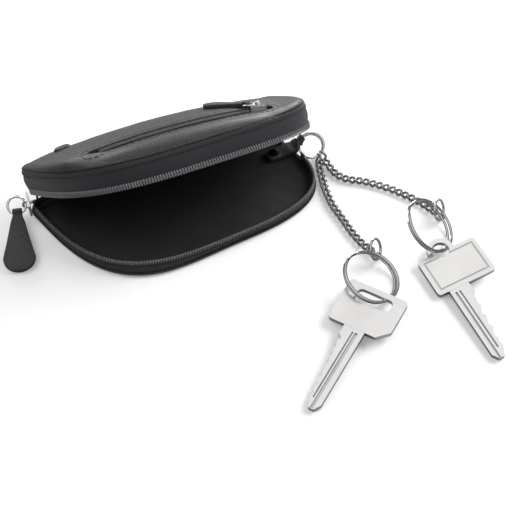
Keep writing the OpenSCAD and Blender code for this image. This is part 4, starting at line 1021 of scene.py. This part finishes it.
def leatherPull(length, width, neck, tunnel, wire):
    # a flat strap whose half width grows to a round end, with rounded edges and a slightly full middle
    bore = 1.06 * wire + pulls["play"]
    outerD = bore + 2 * pulls["wall"]
    start = bore / 2 + pulls["wall"] / 2
    down = start + (length - start) * (1 - np.cos(np.linspace(0, np.pi, 90))) / 2
    share = ramped(down, start, length - width / 2)
    grow = tunnel / 2 + (neck - tunnel) / 2 * ramped(share, 0, 0.2)
    grow = grow + (width - neck) / 2 * ramped(share, 0.05, 1) ** 1.15
    tip = ramped(down, length - width / 2, length)
    halfWidth = grow * np.maximum((1 - tip ** pulls["roundTip"]) ** (1 / pulls["roundTip"]), 1e-4)
    thick = pulls["thick"] / 2 * np.minimum(1, np.sqrt(np.maximum(halfWidth, 0) / 0.9) + 1e-4)
    section = roundedSection(halfWidth, thick, 0.55, 32)
    down = np.broadcast_to(-down[:, None], section.shape[:2])
    grid = np.stack([section[..., 0], down, section[..., 1]], -1)
    blade = closedPart(grid, caps=True)
    angle = circleAngles(pulls["around"])
    inner, outer, end = bore / 2, outerD / 2, tunnel / 2
    profile = [(inner, 0.15 - end), (outer - 0.25, -end), (outer, 0.25 - end), (outer, 0.0),
               (outer, end - 0.25), (outer - 0.25, end), (inner, end - 0.15)]
    loop = np.array([np.roll(circlePath(r, angle), 1, -1) + [x, 0, 0] for r, x in profile])
    return [blade, closedPart(loop, closeAlong=True)]


def movedParts(parts, move):
    return [(move(points), faces, flow) for points, faces, flow in parts]


def makePulls():
    p = pulls
    way = forward(np.array([sliderRun]))[0]
    inward = np.array([-way[1], way[0]])
    bailReach = p["plate"] - p["plateSink"] + (p["mainBail"] - p["mainBailWire"] / 2) / 2
    bailPoint = np.append(along(np.array([sliderRun]))[0] - bailReach * inward, case["parting"])
    turn = np.radians(p["mainTurn"])
    centre = bailPoint - p["mainRing"] * np.array([np.cos(turn), np.sin(turn), 0])

    def atRing(points):
        return turned(turned(points, x=p["mainTip"]), z=p["mainTurn"]) + centre

    def atPull(points):
        return atRing(turned(points, x=p["mainRest"] - p["mainTip"]) + [0, -barDrop(p["mainRing"]), 0])

    fit("pullRing", closedPart(atRing(dRing(p["mainRing"], p["mainWire"])), closeAlong=True),
        "main_ring", "silver", silver, "pull_ring")
    parts = leatherPull(p["mainLength"], p["mainWidth"], p["mainNeck"],
                        2 * p["bar"] * p["mainRing"] - p["mainWire"] - 0.3, p["mainWire"])
    fit("pullTab", movedParts(parts, atPull), "main_pull", "leather", pullLeather, "pull_tab", merge=True)

    lift = p["pocketSliderTop"] + (p["pocketBail"] - p["pocketBailWire"] / 2) / 2

    def atPocketRing(points):
        moved = turned(points, z=90) + [p["pocketRing"], 0, 0]
        moved = turned(turned(moved, y=p["pocketTip"]), z=p["pocketTurn"])
        return opened(onCrown(moved, pocket["sliderX"], lid["slitY"], lift))

    def atPocketPull(points):
        return atPocketRing(turned(points, x=p["pocketTabTip"]) + [0, -barDrop(p["pocketRing"]), 0])

    fit("pocketRing", closedPart(atPocketRing(dRing(p["pocketRing"], p["pocketWire"])), closeAlong=True),
        "pocket_ring", "silver", silver, "pocket_ring")
    parts = leatherPull(p["pocketLength"], p["pocketWidth"], p["pocketNeck"],
                        2 * p["bar"] * p["pocketRing"] - p["pocketWire"] - 0.3, p["pocketWire"])
    fit("pocketTab", movedParts(parts, atPocketPull), "pocket_pull", "leather", pullLeather, "pocket_tab",
        merge=True)


makePulls()
print("pulls made")

# strap, rings, chains and keys
ring = {"strapR": 5.3, "strapT": 0.8, "strapH": 1.2, "strapLean": 36, "strapTurn": -21.5, "tunnelTurn": 155,
        "keyR": 11.3, "keyT": 1.2, "keyH": 1.5, "jumpR": 4.2, "jumpWire": 1.0, "jumpLean": 28, "part": 0.6,
        "swell": 1.3, "jumpFull": 1.12, "jumpCut": 0.9, "cutDepth": 0.16, "cutWidth": 0.045,
        "a": {"lean": 21.6, "turn": 57.4, "at": 0, "jumpTurn": 227, "reach": 1 / 2, "aside": 0, "start": 60},
        "b": {"lean": 36.7, "turn": 58.2, "at": -34, "jumpTurn": 225, "reach": 1 / 5, "aside": 1 / 4,
              "start": 90}}
strap = {"width": 6, "thick": 1.2, "reach": 1.2, "turn": -3, "rivetTurn": -1, "rivetK": 9.5, "play": 0.6,
         "wall": 0.72, "tunnelShare": 0.7, "lift": 0.3, "clear": 0.1}
strap["bore"] = ring["strapH"] + strap["play"] + 0.2 * ring["strapT"]
strap["tunnelD"] = strap["bore"] + 2 * strap["wall"]
strap["tunnelW"] = strap["tunnelShare"] * strap["width"]


def leaning(points, centre, lean, turn):
    return turned(turned(points, x=lean), z=turn) + centre


def ringWay(lean, turn, angle):
    a = np.radians(angle)
    return leaning(np.array([np.cos(a), np.sin(a), 0.0]), 0, lean, turn)


def strapWay(angle):
    return ringWay(ring["strapLean"], ring["strapTurn"], angle)


def atStrap(points):
    return leaning(points, strapCentre, ring["strapLean"], ring["strapTurn"])


tunnelPlace = inset(np.array([runAt(strap["turn"])]), np.array([-strap["reach"] - strap["tunnelD"] / 2]))[0]
liningWall = lower["rim"] + case["lining"] / 2
tunnelPoint = np.append(tunnelPlace, liningWall + strap["lift"] + strap["thick"] + strap["tunnelD"] / 2)
strapCentre = tunnelPoint - ring["strapR"] * strapWay(ring["tunnelTurn"])


def makeStrap():
    out = strapWay(ring["tunnelTurn"])
    mouth = tunnelPoint + (strap["tunnelD"] / 2 - strap["thick"] / 4) * out
    rivet = inset(np.array([runAt(strap["rivetTurn"])]), np.array([strap["rivetK"]]))[0]
    rim = inset(np.array([runAt(strap["turn"])]), np.array([case["leather"] / 2]))[0]
    flat = case["leather"] + case["lining"] + strap["clear"] + strap["thick"]
    top = liningWall + strap["clear"] + strap["thick"]
    halfFlat = strap["width"] / 2
    marks = np.array([[rivet[0] - halfFlat, rivet[1], flat], [rivet[0] + halfFlat, rivet[1], flat],
                      [rim[0] - 2 * strap["thick"], rim[1], top], [rim[0], rim[1], top], mouth])
    shares = np.array([0, 0.2, 0.6, 0.8, 1])
    f = np.linspace(0, 1, 61)
    path = np.stack([np.interp(f, shares, marks[:, k]) for k in range(3)], -1)
    for _ in range(10):
        path[1:-1] = 0.25 * path[:-2] + 0.5 * path[1:-1] + 0.25 * path[2:]
    width = strapWay(ring["tunnelTurn"] + 90)
    blendShare = ramped(f, shares[3], 1)[:, None]
    side = np.array([0.0, 1.0, 0.0]) * (1 - blendShare) - width * blendShare
    halfWidth = (strap["width"] + (strap["tunnelW"] - strap["width"]) * blendShare[:, 0]) / 2
    end = ramped(f, 0, 0.05)
    halfWidth = halfWidth * np.maximum(np.sqrt(1 - (1 - end) ** 2), 0.25)
    section = roundedSection(halfWidth, np.full(len(f), strap["thick"]), 0.5, 28)
    band = closedPart(sweep(path, side, section), caps=True)
    halfTurn = np.degrees(np.arcsin(strap["tunnelW"] / 2 / ring["strapR"]))
    around = np.radians(np.linspace(ring["tunnelTurn"] - halfTurn, ring["tunnelTurn"] + halfTurn, 15))
    angle = circleAngles(36)

    def tunnelRow(at, r):
        reach = ring["strapR"] + r * np.cos(angle)
        return np.stack([reach * np.cos(at), reach * np.sin(at), r * np.sin(angle)], -1)

    big, small = strap["tunnelD"] / 2, strap["bore"] / 2
    rows = [tunnelRow(around[0], small), tunnelRow(around[0], big - 0.2)]
    rows += [tunnelRow(at, big) for at in around[1:-1]]
    rows += [tunnelRow(around[-1], big - 0.2), tunnelRow(around[-1], small)]
    rows += [tunnelRow(at, small) for at in around[-2:0:-1]]
    loop = closedPart(atStrap(np.array(rows)), closeAlong=True)
    fit("ringStrap", [band, loop], "lower_half", "leather", pullLeather, "ring_strap")


splice = {"cut": 22, "climb": 16, "seam": 0.012, "round": 0.45}  # degrees, degrees, then millimetres


def splitRing(r, thick, height, steps, start):
    # one flat wire wound twice: it climbs from the lower turn to the upper one beside its two cut ends
    turn = np.linspace(start + splice["cut"], start + 720 - splice["cut"], steps)
    climb = eased(ramped(turn - start, 360 - splice["climb"], 360 + splice["climb"]))
    a = np.radians(turn)
    apart = ring["part"] * (1 - np.cos(a - np.radians(start))) / 2
    z = (climb - 0.5) * (height / 2 + apart)
    reach = r + (climb - 0.5) * apart
    middle = np.stack([reach * np.cos(a), reach * np.sin(a), z], -1)
    section = roundedSection(thick / 2, height / 4 - splice["seam"], splice["round"], 16)
    out = circlePath(1, a)
    wide = section[None, :, :1] * out[:, None]
    return middle[:, None] + wide + section[None, :, 1:] * np.array([0, 0, 1.0])


# breaks are the links where a chain's four lengths part, the last being its count
# a route is headings in degrees at shares of the chain
links = {"wire": 0.8, "full": 1.1, "pitch": 2.95, "half": 1.25, "play": 0.08, "endShare": 1.25, "lift": 0.075,
         "endLift": 0.025,
         "a": {"start": -56, "breaks": (0, 5, 10, 15, 20),
               "route": ((0, -107), (0.25, -101), (0.4, -93), (0.53, -82), (0.67, -86), (0.79, -78),
                         (0.9, -70), (1, -62))},
         "b": {"start": -38, "breaks": (0, 5, 10, 15, 21),
               "route": ((0, -83), (0.16, -79), (0.25, -50), (0.33, -25), (0.43, -40), (0.53, -43),
                         (0.64, -51), (0.74, -54), (0.83, -60), (0.9, -74), (0.96, -68), (1, -60))}}
links["halfLength"] = (links["pitch"] + links["wire"] + links["play"]) / 2
links["endHalf"] = links["endShare"] * links["half"]
links["endLength"] = links["endShare"] * links["halfLength"]
links["endPitch"] = 2 * links["endLength"] - links["wire"] - links["play"]
links["rest"] = links["half"] * np.sin(np.pi / 4) + links["wire"] / 2 + links["lift"]
links["endRest"] = links["endHalf"] + links["wire"] / 2 + links["endLift"]


def headingWay(degrees):
    return np.array([np.cos(np.radians(degrees)), np.sin(np.radians(degrees)), 0.0])


def headingAt(route, count, i):
    return np.interp((i + 0.5) / count, *np.array(route).T)


def chainPoints(route, count, start):
    # each link takes the route's heading at its share, and comes down from the ring to the floor
    points = [start]
    for i in range(count):
        nearEnd = np.clip(1 - min(i, count - 2 - i) / 2, 0, 1)
        z = links["rest"] + (links["endRest"] - links["rest"]) * nearEnd
        reach = links["endPitch"] if i in (0, count - 1) else links["pitch"]
        rise = z - points[-1][2]
        flat = np.sqrt(reach ** 2 - rise ** 2)
        points.append(points[-1] + flat * headingWay(headingAt(route, count, i)) + [0, 0, rise])
    return np.array(points)


def linkGrid(halfLength, halfWidth, roll0, roll1):
    # a stadium of round wire, twisted along its length as a curb link is
    a = circleAngles(32, 0.5)
    straight = halfLength - halfWidth - links["wire"] / 2
    path = np.stack([halfWidth * np.cos(a) + np.sign(np.cos(a)) * straight, halfWidth * np.sin(a), 0 * a], -1)
    share = np.clip(0.5 + path[:, 0] / (2 * (straight + 0.6 * halfWidth)), 0, 1)
    roll = np.radians(roll0 + (roll1 - roll0) * share)
    path = np.stack([path[:, 0], path[:, 1] * np.cos(roll), path[:, 1] * np.sin(roll)], -1)
    return sweepRound(path, links["full"] / 2, 10, closed=True)


def chainParts(points, count, first, last):
    # a link lies flat in its middle, its ends an eighth turn each way; the two at the chain's ends stand up
    parts = []
    for i in range(first, last):
        way = points[i + 1] - points[i]
        ends = i in (0, count - 1)
        roll0 = 90 if i == 0 else 135 if i == count - 1 else -45
        roll1 = 90 if i == count - 1 else 45
        length, width = ("endLength", "endHalf") if ends else ("halfLength", "half")
        grid = linkGrid(links[length], links[width], roll0, roll1)
        pitch = -np.degrees(np.arcsin(way[2] / np.linalg.norm(way)))
        heading = np.degrees(np.arctan2(way[1], way[0]))
        grid = turned(grid, y=pitch, z=heading) + (points[i] + points[i + 1]) / 2
        parts.append(closedPart(grid, closeAlong=True))
    return parts


def makeChain(letter):
    route, breaks = links[letter]["route"], links[letter]["breaks"]
    count = breaks[-1]
    start = strapCentre + ring["strapR"] * strapWay(links[letter]["start"])
    start = start - (ring["strapH"] / 2 + links["play"]) * headingWay(route[0][1])
    points = chainPoints(route, count, start)
    for k in range(4):
        fit(f"chain{letter.upper()}{k + 1}", chainParts(points, count, breaks[k], breaks[k + 1]),
            f"chain_{letter}{k + 1}", "chain_metal", darkNickel, f"chain_{letter}{k + 1}")
    reach = ring["jumpWire"] / 2 + links["play"]
    return points[-1] - reach * headingWay(headingAt(route, count, count - 1))


def jumpUp(planeTurn):
    # the way from the foot of a leaning jump ring to its middle
    lean, turn = np.radians([ring["jumpLean"], planeTurn])
    return np.array([np.sin(lean) * np.sin(turn), -np.sin(lean) * np.cos(turn), np.cos(lean)])


def makeJump(letter, centre, planeTurn):
    a = circleAngles(80)
    fromCut = np.mod(a - ring["jumpCut"] + np.pi, 2 * np.pi) - np.pi
    dent = 1 - ring["cutDepth"] * np.exp(-(fromCut / ring["cutWidth"]) ** 2)
    thin = ring["jumpFull"] * ring["jumpWire"] / 2 * dent
    wire = sweepRound(circlePath(ring["jumpR"], a), thin, 14, closed=True)
    grid = leaning(wire, centre, 90 + ring["jumpLean"], planeTurn)
    fit(f"jumpRing{letter.upper()}", closedPart(grid, closeAlong=True),
        f"jump_ring_{letter}", "chain_metal", ringNickel, f"jump_ring_{letter}")


def keyRingCentre(jump, own):
    # the middle of a leaning key ring that clears the floor, with its wire inside the jump ring
    planeTurn, lean, turn, at = own["jumpTurn"], own["lean"], own["turn"], own["at"]
    leanSin, leanCos = np.sin(np.radians(lean)), np.cos(np.radians(lean))
    height = (ring["keyR"] + ring["keyT"] / 2) * leanSin + ring["keyH"] / 2 * leanCos + 0.1
    height += ring["keyR"] * leanSin * np.sin(np.radians(at))
    p = jump + ring["jumpR"] * own["reach"] * headingWay(planeTurn)
    p = p + ring["jumpR"] * own["aside"] * headingWay(planeTurn + 90)
    p = p + (height - jump[2]) / np.cos(np.radians(ring["jumpLean"])) * jumpUp(planeTurn)
    return p - ring["keyR"] * ringWay(lean, turn, at)


def makeRings():
    wide = ring["swell"]
    wound = splitRing(ring["strapR"], wide * ring["strapT"], wide * ring["strapH"], 220, 250)
    fit("strapRing", closedPart(atStrap(wound), caps=True),
        "strap_ring", "chain_metal", ringNickel, "strap_ring")
    jumps = {k: makeChain(k) + ring["jumpR"] * jumpUp(ring[k]["jumpTurn"]) for k in "ab"}
    for k in "ab":
        makeJump(k, jumps[k], ring[k]["jumpTurn"])
    for k in "ab":
        own = ring[k]
        wound = splitRing(ring["keyR"], ring["keyT"], wide * ring["keyH"], 360, own["start"])
        grid = leaning(wound, keyRingCentre(jumps[k], own), own["lean"], own["turn"])
        fit(f"keyRing{k.upper()}", closedPart(grid, caps=True),
            f"key_ring_{k}", "chain_metal", ringNickel, f"key_ring_{k}")


makeStrap()
makeRings()
copyNode("key_a", "keyA", "key_a", "key_metal", keyNickel, 0.4, 3, 35)
copyNode("key_b", "keyB", "key_b", "key_metal", keyNickel, 0.4, 3, 35)
print("strap, rings, chains and keys made")

scene.view_settings.view_transform = "Standard"
